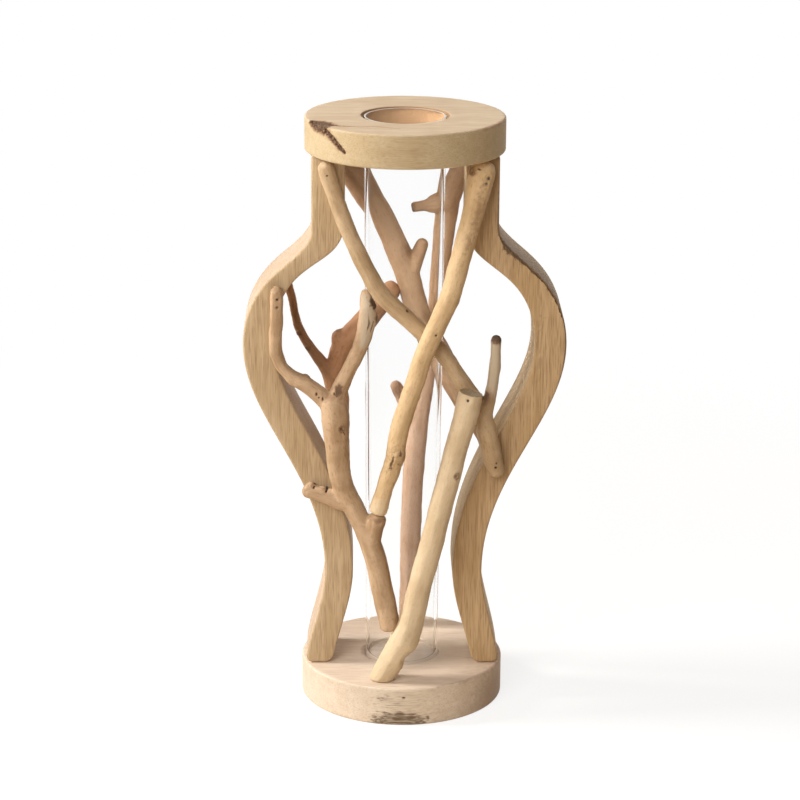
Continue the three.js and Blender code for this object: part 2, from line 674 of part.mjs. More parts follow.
// Dowels between the top ring and the side frames, and screws from under the base into their feet
const FRAME_SCREW_MIDDLE = (50 * (FRAME_SCREW_LENGTH - BASE_THICK)) / FRAME_HEIGHT;
const dowelEnd = new THREE.Vector3(0, 0, PIN_CLEARANCE);
for (const [side, sideName] of [[LEFT, "left"], [RIGHT, "right"]]) {
  for (const [end, endName] of [[FRONT, "front"], [BACK, "back"]]) {
    const y = (end * PIN_SPACING) / 2;
    const frame = `${sideName}_side_frame`;
    const low = new THREE.Vector3(side * NECK_SPREAD, y, RING_UNDER - DOWEL_IN_FRAME);
    const high = low.clone().setZ(RING_UNDER + DOWEL_IN_RING);
    const dowel = pin(low, high, DOWEL_RADIUS);
    const hole = pin(low.clone().sub(dowelEnd), high.clone().add(dowelEnd), DOWEL_RADIUS + PIN_CLEARANCE);
    fasten(`dowel_${sideName}_${endName}`, dowel, hole, dowelWood, ["top_ring", frame]);
    const x = side * spread(FRAME_SCREW_MIDDLE);
    screwFromBelow(`frame_screw_${sideName}_${endName}`, x, y, FRAME_SCREW_LENGTH, frame);
  }
}

// The place along a limb whose centre has the least measure
function place({ curve }, measure) {
  const centres = curve.getSpacedPoints(PLACE_STEPS);
  const index = centres.reduce((best, centre, i) => (measure(centre) < measure(centres[best]) ? i : best), 0);
  return { share: index / PLACE_STEPS, centre: centres[index] };
}

const atHeight = (height) => (centre) => Math.abs(centre.z - height);
const seenAt = (point) => (centre) => Math.hypot(centre.x - point.x, centre.z - point.z);

// Screws from under the base into the foot branches
const FOOT_SCREW_MIDDLE = (BASE_THICK + FOOT_SCREW_LENGTH) / 2;
for (const [end, stem] of [["front", footStem], ["back", backFootStem]]) {
  const { centre } = place(stem, atHeight(FOOT_SCREW_MIDDLE));
  screwFromBelow(`foot_screw_${end}`, centre.x, centre.y, FOOT_SCREW_LENGTH, `${end}_foot_branch`);
}

// A brad driven from a place on the surface towards a point, and sunk
function brad(name, head, aim, length, holders) {
  const way = aim.clone().sub(head).normalize();
  const start = head.clone().addScaledVector(way, BRAD_SUNK);
  const tip = start.clone().addScaledVector(way, length);
  const mouth = head.clone().addScaledVector(way, -2 * BRAD_SUNK);
  const bottom = tip.clone().addScaledVector(way, PIN_CLEARANCE);
  const hole = pin(mouth, bottom, BRAD_RADIUS + PIN_CLEARANCE, BRAD_SIDES);
  fasten(`brad_${name}`, pin(start, tip, BRAD_RADIUS, BRAD_SIDES), hole, steel, holders);
}

// A place on the outside of a limb, at a share of its length and, to the right, a share of its radius
function outside({ side, curve, radiusAt }, share, aside = 0) {
  const radius = radiusAt(share);
  const way = curve.getTangentAt(share);
  const across = new THREE.Vector3(Math.abs(way.z), 0, -Math.sign(way.z) * way.x).normalize();
  const point = curve.getPointAt(share).addScaledVector(across, aside * radius);
  return point.setY(point.y + side * radius * Math.sqrt(1 - aside * aside));
}

// Brads straight into a side frame: name, limb, share of its length, share of its radius, branch, frame
const BRAD_HEIGHT = RING_UNDER - DOWEL_IN_FRAME - BRAD_UNDER_DOWEL;
const topBrad = (one) => place(one, atHeight(BRAD_HEIGHT)).share;
const lowBrad = (one) => place(one, atHeight(BRAD_HEIGHT - BRAD_SPACING)).share;
const frameBrads = [
  ["front_cross_top", crossStem, topBrad(crossStem), 0, "front_cross_branch", "left_side_frame"],
  ["front_cross_foot", crossStem, 0.97, 0.25, "front_cross_branch", "right_side_frame"],
  ["front_upper_top", upperStem, topBrad(upperStem), 0.45, "front_upper_branch", "right_side_frame"],
  ["front_upper_low", upperStem, lowBrad(upperStem), 0.4, "front_upper_branch", "right_side_frame"],
  ["front_fork_top", forkLeftTwig, 0.948, 0.15, "front_fork_branch", "left_side_frame"],
  ["front_fork_low", forkLeftTwig, 0.89, 0.15, "front_fork_branch", "left_side_frame"],
  ["front_fork_stub", forkLeftStub, 0.845, 0.75, "front_fork_branch", "left_side_frame"],
  ["front_fork_crotch", forkLeftStub, 0.517, 0.75, "front_fork_branch", "left_side_frame"],
  ["back_cross_top", backCrossStem, topBrad(backCrossStem), 0, "back_cross_branch", "left_side_frame"],
  ["back_cross_foot", backCrossStem, 0.97, 0, "back_cross_branch", "right_side_frame"],
  ["back_upper_top", backUpperStem, topBrad(backUpperStem), 0, "back_upper_branch", "right_side_frame"],
  ["back_fork_twig", backForkTwig, 0.95, 0, "back_fork_branch", "left_side_frame"],
  ["back_fork_trunk", backForkTrunk, 0.08, 0, "back_fork_branch", "left_side_frame"],
];
for (const [name, one, share, aside, ...holders] of frameBrads) {
  const head = outside(one, share, aside);
  brad(name, head, head.clone().setY(0), FRAME_BRAD_LENGTH, holders);
}

// Brads from one branch into the next: name, limb, shares as above, limb held, branch, branch held
const branchBrads = [
  ["front_crossing", upperStem, 0.455, 0.2, crossStem, "front_upper_branch", "front_cross_branch"],
  ["front_foot_head", footStem, 0.983, -0.2, crossStem, "front_foot_branch", "front_cross_branch"],
  ["back_crossing", backUpperStem, 0.94, 0, backCrossStem, "back_upper_branch", "back_cross_branch"],
  ["back_foot_head", backFootStem, 0.97, 0, backCrossStem, "back_foot_branch", "back_cross_branch"],
];
for (const [name, one, share, aside, held, ...holders] of branchBrads) {
  const head = outside(one, share, aside);
  brad(name, head, place(held, seenAt(head)).centre, BRANCH_BRAD_LENGTH, holders);
}

// Brad through the cut end of the fork branch into the side of the foot branch
const forkEnd = forkTrunk.curve.getPointAt(0.03);
const footSide = place(footStem, atHeight(forkEnd.z)).centre;
const forkOut = forkEnd.clone().sub(footSide).normalize();
const forkHead = forkEnd.clone().addScaledVector(forkOut, forkTrunk.radiusAt(0));
brad("front_fork_foot", forkHead, footSide, BRANCH_BRAD_LENGTH, ["front_fork_branch", "front_foot_branch"]);

const vase = new THREE.Group();
vase.name = "driftwood_vase";
for (const [name, { made, material }] of pieces) vase.add(part(name, made, material));

export default vase;
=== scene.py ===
"""Driftwood vase: wooden frames, peeled branches and a glass tube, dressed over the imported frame."""

import logging
import math
from dataclasses import dataclass, replace
from enum import Enum
from typing import Any, Iterable, Sequence

import bmesh
import bpy
from mathutils import Matrix, Vector, noise
from mathutils.geometry import interpolate_bezier

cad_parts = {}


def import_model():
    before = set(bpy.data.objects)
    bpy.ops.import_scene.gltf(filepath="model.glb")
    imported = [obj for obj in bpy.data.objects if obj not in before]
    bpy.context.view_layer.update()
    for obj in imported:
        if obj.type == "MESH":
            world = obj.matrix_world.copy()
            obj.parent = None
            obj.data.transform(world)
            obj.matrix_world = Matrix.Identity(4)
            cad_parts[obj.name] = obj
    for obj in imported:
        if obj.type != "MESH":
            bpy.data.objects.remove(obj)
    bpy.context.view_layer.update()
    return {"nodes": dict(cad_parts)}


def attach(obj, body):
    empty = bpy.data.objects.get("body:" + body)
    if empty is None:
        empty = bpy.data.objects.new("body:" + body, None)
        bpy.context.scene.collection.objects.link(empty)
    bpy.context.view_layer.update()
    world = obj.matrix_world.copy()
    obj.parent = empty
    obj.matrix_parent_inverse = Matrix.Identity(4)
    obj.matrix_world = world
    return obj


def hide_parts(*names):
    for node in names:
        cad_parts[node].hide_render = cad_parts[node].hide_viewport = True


log = logging.getLogger("driftwood_vase")

MM = 0.001
WOOD_BODY = "frame"
TUBE_BODY = "tube"
RAW_SHEEN = 0.2
BOARD_CREASE = 35.0
ROUND_CREASE = 60.0
FINEST_EDGE = 0.32
CRISP_EDGE = 0.6
SOFT_EDGE = 2.0
LEAST_FACING = 0.4
SEAT_GAP = 0.3
RECESS_FLOOR = 17.0
BASE_TOP = 20.0
RING_UNDER = 288.0
RING_TOP = 305.0
FRAME_THICK = 34.0
FRAME_FRONT = -FRAME_THICK / 2.0
FRONTWARDS = (0.0, -1.0, 0.0)
Triple = tuple[float, float, float]
Colour = tuple[float, float, float]
Waypoint = tuple[float, float, float, float]
Piece = bpy.types.Object
Nodes = dict[str, Piece]
Material = bpy.types.Material
Socket = bpy.types.NodeSocket


def ease(low: float, high: float, value: float) -> float:
    """Eases a value between two bounds.

    Args:
        low: Where the result is 0.
        high: Where the result is 1.
        value: The value to place between them.

    Returns:
        The smooth share of the way from low to high.
    """
    share = min(max((value - low) / (high - low), 0.0), 1.0)
    return share * share * (3.0 - 2.0 * share)


def hump(middle: float, width: float, value: float) -> float:
    """Gives a bell-shaped weight.

    Args:
        middle: Where the weight is 1.
        width: How far from there it has faded.
        value: Where to read it.

    Returns:
        The weight at the value.
    """
    return math.exp(-(((value - middle) / width) ** 2))


def bevel(bm: bmesh.types.BMesh, geom: list[Any], offset: float, segments: int, **more: Any) -> None:
    """Rounds edges, or corners of a section."""
    bmesh.ops.bevel(bm, geom=geom, offset=offset, segments=segments, profile=0.5, material=-1, **more)


def put(name: str, data: Any) -> Piece:
    """Puts an object into the scene.

    Args:
        name: The object's name.
        data: Its mesh, lamp or camera.

    Returns:
        The object, at the origin.
    """
    made = bpy.data.objects.new(name, data)
    bpy.context.scene.collection.objects.link(made)
    return made


class Layer(Enum):
    """Point attributes that the wood finishes read."""

    ROUND = "round"
    DARK = "dark"
    # Brown stains, and also painted shade.
    STAIN = "stain"
    WORN = "worn"
    END = "end"


@dataclass(frozen=True)
class Fall:
    """A weight that falls off from a mark's middle.

    Attributes:
        top: The weight in the middle.
        start: Where it starts to fall, as a share of the mark's size.
        end: Where it is gone.
    """

    top: float
    start: float
    end: float

    def at(self, share: float) -> float:
        """Gives the weight at a share of the mark's size."""
        return self.top * (1.0 - ease(self.start, self.end, share))


NOTHING = Fall(0.0, 0.0, 1.0)


class Mark(Enum):
    """What can be seen on weathered wood, with how it rises, darkens and stains the surface; the brown of
    stains also serves as painted shade.
    """

    NAIL = "sunk nail", Fall(-1.0, 0.6, 1.0), Fall(1.0, 0.7, 1.15), Fall(0.5, 0.9, 1.7)
    SINK = "countersunk hole", Fall(-1.0, 0.86, 1.0), NOTHING, Fall(0.3, 0.8, 1.1)
    PIT = "ragged pit", Fall(-1.0, 0.35, 1.0), Fall(0.95, 0.35, 1.0), Fall(0.8, 0.6, 1.5)
    KNOT = "grown-over knot", Fall(-1.2, 0.1, 0.5), Fall(0.8, 0.1, 0.5), Fall(0.8, 0.5, 1.4)
    BARK = "left-over bark", Fall(1.0, 0.6, 1.0), Fall(0.9, 0.6, 1.0), Fall(1.0, 0.8, 1.25)
    # This kind marks real brown stains, and also paints shade where shade falls on a piece.
    STAIN = "brown stain", NOTHING, NOTHING, Fall(1.0, 0.2, 1.3)
    LUMP = "healed lump", Fall(1.0, 0.0, 1.2), NOTHING, NOTHING
    CRACK = "drying crack", Fall(-1.0, 0.35, 1.0), Fall(1.0, 0.6, 1.0), Fall(1.0, 0.8, 1.5)
    WORN = "weathered patch", NOTHING, NOTHING, Fall(1.0, 0.2, 1.3)

    @property
    def falls(self) -> tuple[Fall, Fall, Fall]:
        """Gives how its rise, darkness and stain fall off."""
        return self.value[1:]


@dataclass(frozen=True)
class Blemish:
    """A mark on a wooden surface.

    Attributes:
        kind: What it is.
        place: Its middle, in millimetres.
        size: Half its extent along x, y and z before it is turned.
        turn: Degrees about the y axis, clockwise seen from the front.
        depth: How far it is sunk, or how far it stands out.
        ragged: How far its edge strays, as a share of its size.
        strength: How strongly it is coloured.
        line: For a mark that follows a line, its points, each with the half width there.
        facing: The way that the marked surface looks, or None for any way.
    """

    kind: Mark
    place: Triple
    size: Triple
    turn: float = 0.0
    depth: float = 0.5
    ragged: float = 0.25
    strength: float = 1.0
    line: tuple[Waypoint, ...] = ()
    facing: Triple | None = None

    @classmethod
    def along(cls, kind: Mark, *line: Waypoint, **more: Any) -> "Blemish":
        """Makes a mark that follows a line.

        Args:
            kind: What it is.
            line: Points of the line, each with the half width there.
            more: Other fields of the mark.

        Returns:
            The mark.
        """
        points = [Vector(step[:3]) for step in line]
        middle = sum(points, Vector()) / len(points)
        reach = max((point - middle).length + step[3] for point, step in zip(points, line))
        return cls(kind, tuple(middle), (reach, reach, reach), line=line, **more)

    def near(self, point: Vector, reach: float = 1.7) -> bool:
        """Says whether a point is close enough for the mark to matter."""
        close = (point - Vector(self.place)).length_squared < (reach * max(self.size)) ** 2
        return close and (not self.line or self.line_share(point) < reach)

    def fineness(self) -> float:
        """Works out how fine a mesh has to be to show the mark.

        Returns:
            The longest edge.
        """
        widths = [step[3] for step in self.line] if self.line else sorted(self.size)[:2]
        soft = self.depth == 0.0 or self.kind in (Mark.STAIN, Mark.LUMP)
        return min(max(0.4 * min(widths), FINEST_EDGE), SOFT_EDGE if soft else CRISP_EDGE)

    def line_share(self, point: Vector) -> float:
        """Measures how far a point lies from the mark's line.

        Args:
            point: A point in millimetres.

        Returns:
            The least distance to the line, in half widths.
        """
        best = math.inf
        for first, second in zip(self.line, self.line[1:]):
            start = Vector(first[:3])
            run = Vector(second[:3]) - start
            share = min(max((point - start).dot(run) / run.length_squared, 0.0), 1.0)
            width = first[3] + (second[3] - first[3]) * share
            best = min(best, (point - start - run * share).length / width)
        return best

    def share(self, point: Vector) -> float:
        """Measures how far out a point lies.

        Args:
            point: A point in millimetres.

        Returns:
            0 in the mark's middle, 1 on its ragged edge.
        """
        if self.line:
            share = self.line_share(point)
        else:
            turned = Matrix.Rotation(math.radians(-self.turn), 3, "Y") @ (point - Vector(self.place))
            share = math.sqrt(sum((part / half) ** 2 for part, half in zip(turned, self.size)))
        stray = noise.noise(point * 0.55) + 0.6 * noise.noise(point * 1.7)
        return share * (1.0 + self.ragged * stray)

    def press(self, share: float) -> Triple:
        """Works out what the mark does to the surface.

        Args:
            share: How far out the surface point lies.

        Returns:
            How far the point rises, how dark it turns, and how much brown it takes for stains and painted
            shade.
        """
        rise, dark, stain = (fall.at(share) for fall in self.kind.falls)
        if self.kind is Mark.KNOT:
            rise += hump(0.8, 0.3, share)
            dark += 0.45 * hump(0.72, 0.14, share)
        return self.depth * rise, dark, stain


@dataclass(frozen=True)
class SawCut:
    """A flat sawn end of a limb.

    Attributes:
        place: A point of the cut.
        way: The way out of the wood.
        reach: How far from that point the limb is sawn.
        rim: Width of the rim that stays level.
        slope: Width of the slope inside it.
        dish: How far the middle is sunk.
    """

    place: Triple
    way: Triple
    reach: float
    rim: float = 0.6
    slope: float = 1.2
    dish: float = 0.15


class Blank:
    """A wooden piece in the making, in millimetres, with the layers that its finish reads."""

    def __init__(self, mesh: bpy.types.Mesh | None = None) -> None:
        """Starts empty, or from a mesh.

        Args:
            mesh: A mesh in millimetres.
        """
        self.bm = bmesh.new()
        if mesh is not None:
            self.bm.from_mesh(mesh)
        verts = self.bm.verts.layers
        self.round = verts.float_vector.new(Layer.ROUND.value)
        self.dark = verts.float.new(Layer.DARK.value)
        # This layer carries brown stains and also painted shade.
        self.stain = verts.float.new(Layer.STAIN.value)
        self.worn = verts.float.new(Layer.WORN.value)
        self.end = verts.float.new(Layer.END.value)

    @classmethod
    def turned(
        cls, corners: Sequence[Triple], closed: bool, segments: int, steps: int, longest: float = math.inf
    ) -> "Blank":
        """Turns a section round the vase's axis.

        Args:
            corners: The section's corners as radius, height and rounding.
            closed: Whether the last corner joins the first.
            segments: How many steps each rounding has.
            steps: How many steps the turn has.
            longest: The longest edge of the section.

        Returns:
            The turned blank.
        """
        blank = cls()
        bm = blank.bm
        verts = [bm.verts.new((radius, 0.0, height)) for radius, height, _ in corners]
        for first, second in zip(verts, verts[1:] + verts[: int(closed)]):
            bm.edges.new((first, second))
        for vert, (_, _, rounding) in zip(verts, corners):
            if rounding > 0.0:
                bevel(bm, [vert], rounding, segments, affect="VERTICES")
        while long_edges := [edge for edge in bm.edges if edge.calc_length() > longest]:
            bmesh.ops.subdivide_edges(bm, edges=long_edges, cuts=1)
        bmesh.ops.spin(
            bm,
            geom=[*bm.verts, *bm.edges],
            cent=(0.0, 0.0, 0.0),
            axis=(0.0, 0.0, 1.0),
            angle=2.0 * math.pi,
            steps=steps,
            use_merge=True,
        )
        bmesh.ops.remove_doubles(bm, verts=bm.verts, dist=1e-3)
        bmesh.ops.recalc_face_normals(bm, faces=bm.faces)
        return blank

    def refine(self, blemish: Blemish) -> None:
        """Splits the edges round a blemish until they can show it.

        Args:
            blemish: The mark that needs a finer mesh.
        """
        longest = blemish.fineness()
        for _ in range(5):
            near = {vert for vert in self.bm.verts if blemish.near(vert.co, 1.5)}
            coarse = [
                edge
                for edge in self.bm.edges
                if (edge.verts[0] in near or edge.verts[1] in near) and edge.calc_length() > longest
            ]
            if not coarse:
                return
            bmesh.ops.subdivide_edges(self.bm, edges=coarse, cuts=1, use_grid_fill=True)

    def mark(self, blemishes: Iterable[Blemish]) -> None:
        """Presses blemishes into the surface and colours them.

        Args:
            blemishes: The marks, in order.
        """
        for blemish in blemishes:
            self.bm.normal_update()
            near = [vert for vert in self.bm.verts if blemish.near(vert.co)]
            normals = [vert.normal.copy() for vert in near]
            for vert, normal in zip(near, normals):
                if blemish.facing is not None and normal.dot(Vector(blemish.facing)) < LEAST_FACING:
                    continue
                rise, dark, stain = blemish.press(blemish.share(vert.co))
                vert.co += rise * normal
                if blemish.kind is Mark.WORN:
                    vert[self.worn] = max(vert[self.worn], blemish.strength * stain)
                    continue
                vert[self.dark] = max(vert[self.dark], blemish.strength * dark)
                vert[self.stain] = max(vert[self.stain], blemish.strength * stain)

    def keep_normals(self) -> None:
        """Keeps each point's normal for the finish."""
        self.bm.normal_update()
        for vert in self.bm.verts:
            vert[self.round] = vert.normal

    def saw(self, cut: SawCut) -> None:
        """Saws an end off flat.

        Args:
            cut: Where the end is sawn.
        """
        place = Vector(cut.place)
        way = Vector(cut.way).normalized()
        near = [face for face in self.bm.faces if (face.calc_center_median() - place).length < cut.reach]
        geometry = set(near)
        for face in near:
            geometry.update(face.edges)
            geometry.update(face.verts)
        sawn = bmesh.ops.bisect_plane(
            self.bm, geom=list(geometry), dist=1e-4, plane_co=place, plane_no=way, clear_outer=True
        )
        rim = [item for item in sawn["geom_cut"] if isinstance(item, bmesh.types.BMEdge)]
        caps = bmesh.ops.edgeloop_fill(self.bm, edges=rim)["faces"]
        inner = bmesh.ops.inset_region(self.bm, faces=caps, thickness=cut.rim, depth=0.0)["faces"]
        bmesh.ops.inset_region(self.bm, faces=caps, thickness=cut.slope, depth=-cut.dish)
        for face in inner + caps:
            for vert in face.verts:
                vert[self.end] = 1.0

    def piece(self, name: str, material: Material, body: str, sharp: float = BOARD_CREASE) -> Piece:
        """Finishes the blank as a piece of the vase.

        Args:
            name: The piece's name.
            material: Its finish.
            body: The body that it rides on.
            sharp: Edges that turn by more than this many degrees stay sharp.

        Returns:
            The finished object.
        """
        bmesh.ops.scale(self.bm, vec=(MM, MM, MM), verts=self.bm.verts)
        mesh = bpy.data.meshes.new(name)
        self.bm.to_mesh(mesh)
        self.bm.free()
        mesh.materials.append(material)
        mesh.shade_smooth()
        mesh.set_sharp_from_angle(angle=math.radians(sharp))
        made = put(name, mesh)
        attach(made, body)
        log.info("%s: %d faces", name, len(mesh.polygons))
        return made


class Layout:
    """A node tree while its nodes are laid out."""

    def __init__(self, tree: bpy.types.NodeTree) -> None:
        """Starts on a tree."""
        self.tree = tree

    def add(self, kind: str, inputs: dict[Any, Any], **settings: Any) -> bpy.types.Node:
        """Adds a node.

        Args:
            kind: Its type name.
            inputs: Values or sockets for its inputs, by name or number.
            settings: Its own properties.

        Returns:
            The new node.
        """
        made = self.tree.nodes.new(kind)
        for key, setting in settings.items():
            setattr(made, key, setting)
        for key, given in inputs.items():
            self.feed(made.inputs[key], given)
        return made

    def feed(self, socket: Socket, given: Any) -> None:
        """Links a socket into another, or sets its value."""
        if isinstance(given, Socket):
            self.tree.links.new(given, socket)
        else:
            socket.default_value = given

    def maths(self, operation: str, first: Any, second: Any) -> Socket:
        """Combines two numbers."""
        return self.add("ShaderNodeMath", {0: first, 1: second}, operation=operation).outputs["Value"]

    def seen_rays(self) -> Socket:
        """Adds up the rays that show the white background: the camera's, mirrored and through glass.

        Returns:
            A socket that is 1 for those rays.
        """
        rays = self.add("ShaderNodeLightPath", {}).outputs
        bent = self.maths("MAXIMUM", rays["Is Glossy Ray"], rays["Is Transmission Ray"])
        return self.maths("MAXIMUM", rays["Is Camera Ray"], bent)


class Recipe(Layout):
    """A finish while its nodes are laid out."""

    def __init__(self, name: str) -> None:
        """Starts a node material.

        Args:
            name: The material's name.
        """
        self.material = bpy.data.materials.new(name)
        self.material.use_nodes = True
        super().__init__(self.material.node_tree)
        self.shader = self.tree.nodes["Principled BSDF"]
        self.output = self.tree.nodes["Material Output"]

    def coords(self) -> Socket:
        """Reads the object's own coordinates.

        Returns:
            The coordinates in millimetres.
        """
        place = self.add("ShaderNodeTexCoord", {}).outputs["Object"]
        scaled = self.add("ShaderNodeVectorMath", {0: place, "Scale": 1.0 / MM}, operation="SCALE")
        return scaled.outputs["Vector"]

    def layer(self, layer: Layer, output: str = "Fac") -> Socket:
        """Gives a point attribute of the piece."""
        return self.add("ShaderNodeAttribute", {}, attribute_name=layer.value).outputs[output]

    def stretch(self, vector: Socket, scale: Triple) -> Socket:
        """Scales coordinates along each axis."""
        mapped = self.add("ShaderNodeMapping", {"Vector": vector, "Scale": scale})
        return mapped.outputs["Vector"]

    def noise(self, vector: Socket, scale: float, detail: float = 2.0, swirl: float = 0.0) -> Socket:
        """Adds a cloudy pattern.

        Args:
            vector: Where it is read.
            scale: Clouds per unit.
            detail: How many finer layers it has.
            swirl: How far it is twisted.

        Returns:
            A socket from 0 to 1.
        """
        inputs = {"Vector": vector, "Scale": scale, "Detail": detail, "Distortion": swirl}
        return self.add("ShaderNodeTexNoise", inputs).outputs["Fac"]

    def streaks(self, around: Socket, along: Socket, scale: float, pace: float) -> Socket:
        """Adds streaks that run along a limb.

        Args:
            around: The limb's smooth normal.
            along: A coordinate that grows along the limb.
            scale: How fine the streaks are round the limb.
            pace: How soon they change along it.

        Returns:
            A socket from 0 to 1.
        """
        inputs = {"Vector": around, "W": self.times(along, pace), "Scale": scale, "Detail": 3.0}
        return self.add("ShaderNodeTexNoise", inputs, noise_dimensions="4D").outputs["Fac"]

    def times(self, first: Any, second: Any) -> Socket:
        """Multiplies two numbers."""
        return self.maths("MULTIPLY", first, second)

    def fade(self, given: Socket, low: float, high: float, top: float = 1.0) -> Socket:
        """Eases a socket from 0 at low to top at high."""
        inputs = {"Value": given, "From Min": low, "From Max": high, "To Max": top}
        return self.add("ShaderNodeMapRange", inputs, interpolation_type="SMOOTHSTEP").outputs["Result"]

    def blend(self, share: Any, first: Any, second: Any, mode: str = "MIX") -> Socket:
        """Mixes two colours.

        Args:
            share: How much of the second shows.
            first: A colour or socket.
            second: A colour or socket.
            mode: The kind of mixing.

        Returns:
            The mixed colour.
        """
        pair = [(*given, 1.0) if isinstance(given, tuple) else given for given in (first, second)]
        inputs = {0: share, 6: pair[0], 7: pair[1]}
        return self.add("ShaderNodeMix", inputs, data_type="RGBA", blend_type=mode).outputs[2]

    def bump(self, height: Socket, distance: float, strength: float = 1.0) -> None:
        """Gives the surface a fine relief, distance in millimetres."""
        inputs = {"Height": height, "Distance": distance * MM, "Strength": strength}
        self.feed(self.shader.inputs["Normal"], self.add("ShaderNodeBump", inputs).outputs["Normal"])

    def finish(self, colour: Any, roughness: Any, **more: Any) -> Material:
        """Feeds the surface shader.

        Args:
            colour: Its base colour.
            roughness: Its roughness.
            more: Its other inputs, with underscores for spaces in their names.

        Returns:
            The finished material.
        """
        inputs = {"Base_Color": colour, "Roughness": roughness, **more}
        for key, given in inputs.items():
            self.feed(self.shader.inputs[key.replace("_", " ")], given)
        return self.material


class Grain(Enum):
    """Which way a board's grain runs: how its coordinates are squeezed, and where its broad faces look."""

    UPRIGHT = ((1.0, 1.0, 0.035), (0.0, 1.0, 0.0))
    ACROSS = ((0.05, 1.0, 1.0), (0.0, 0.0, 1.0))

    @property
    def squeeze(self) -> Triple:
        """Gives the scale of the coordinates along each axis."""
        return self.value[0]

    @property
    def face(self) -> Triple:
        """Gives the direction of the broad faces."""
        return self.value[1]


@dataclass(frozen=True)
class BoardFinish:
    """Sawn and sanded light wood, with growth bands, fibres and fine dark pores.

    Attributes:
        name: The material's name.
        grain: Which way the grain runs.
        pale: The lightest wood.
        tan: The darker growth bands.
        deep: The fibres and pores.
        pores: How strongly the pores show.
        side: What the colours are multiplied by on the narrow faces: painted light and shade, lighter or
            darker than the broad faces by how the lamps fall on them.
        stain: Brown of stains, also used as painted shade.
        worn: Weathered streaks.
        dark: Bark, cracks and nail holes.
    """

    name: str
    grain: Grain
    pale: Colour
    tan: Colour
    deep: Colour
    pores: float = 0.5
    side: Colour = (1.0, 1.0, 1.0)
    stain: Colour = (0.3, 0.165, 0.105)
    worn: Colour = (0.12, 0.075, 0.042)
    dark: Colour = (0.05, 0.028, 0.018)

    def material(self) -> Material:
        """Lays out the nodes.

        Returns:
            The material.
        """
        recipe = Recipe(self.name)
        place = recipe.coords()
        along = recipe.stretch(place, self.grain.squeeze)
        broad = recipe.noise(place, scale=0.03, detail=2.0)
        bands = recipe.noise(along, scale=0.28, detail=3.0, swirl=0.6)
        fibres = recipe.noise(along, scale=1.9, detail=3.0)
        pores = recipe.fade(recipe.noise(along, scale=2.6, detail=1.0), 0.57, 0.7)
        specks = recipe.noise(place, scale=0.9, detail=3.0)
        tone = recipe.maths("ADD", recipe.times(broad, 0.5), recipe.times(bands, 0.5))
        colour = recipe.blend(recipe.fade(tone, 0.38, 0.62), self.pale, self.tan)
        colour = recipe.blend(recipe.fade(fibres, 0.42, 0.75, 0.55), colour, self.deep)
        colour = recipe.blend(recipe.times(pores, self.pores), colour, self.deep)
        # Painted light and shade: the narrow faces take the side colour multiplied in, to stand lighter or
        # darker than the broad faces as the lamps fall.
        looks = {0: recipe.layer(Layer.ROUND, "Vector"), 1: self.grain.face}
        facing = recipe.add("ShaderNodeVectorMath", looks, operation="DOT_PRODUCT").outputs["Value"]
        broad_face = recipe.fade(recipe.maths("ABSOLUTE", facing, 0.0), 0.35, 0.75)
        colour = recipe.blend(broad_face, recipe.blend(1.0, colour, self.side, "MULTIPLY"), colour)
        lines = recipe.noise(recipe.stretch(place, (0.1, 0.4, 1.0)), scale=1.5, detail=4.0)
        patch = recipe.times(recipe.maths("SUBTRACT", recipe.layer(Layer.WORN), 0.6), 0.9)
        worn = recipe.fade(recipe.maths("ADD", lines, patch), 0.38, 0.68, 0.9)
        worn = recipe.times(worn, recipe.maths("ADD", recipe.fade(fibres, 0.35, 0.6, 0.5), 0.5))
        colour = recipe.blend(worn, colour, self.worn)
        # Brown stains, and painted shade from the marks that stand in for it.
        colour = recipe.blend(recipe.times(recipe.layer(Layer.STAIN), 0.75), colour, self.stain)
        dark = recipe.times(recipe.layer(Layer.DARK), recipe.fade(specks, 0.1, 0.6))
        colour = recipe.blend(dark, colour, self.dark)
        relief = recipe.maths("SUBTRACT", recipe.times(fibres, 0.5), pores)
        recipe.bump(relief, distance=0.12, strength=0.6)
        rough = recipe.maths("ADD", recipe.fade(fibres, 0.2, 0.8, 0.2), 0.5)
        rough = recipe.maths("MAXIMUM", dark, rough)
        return recipe.finish(colour, rough, Specular_IOR_Level=RAW_SHEEN)


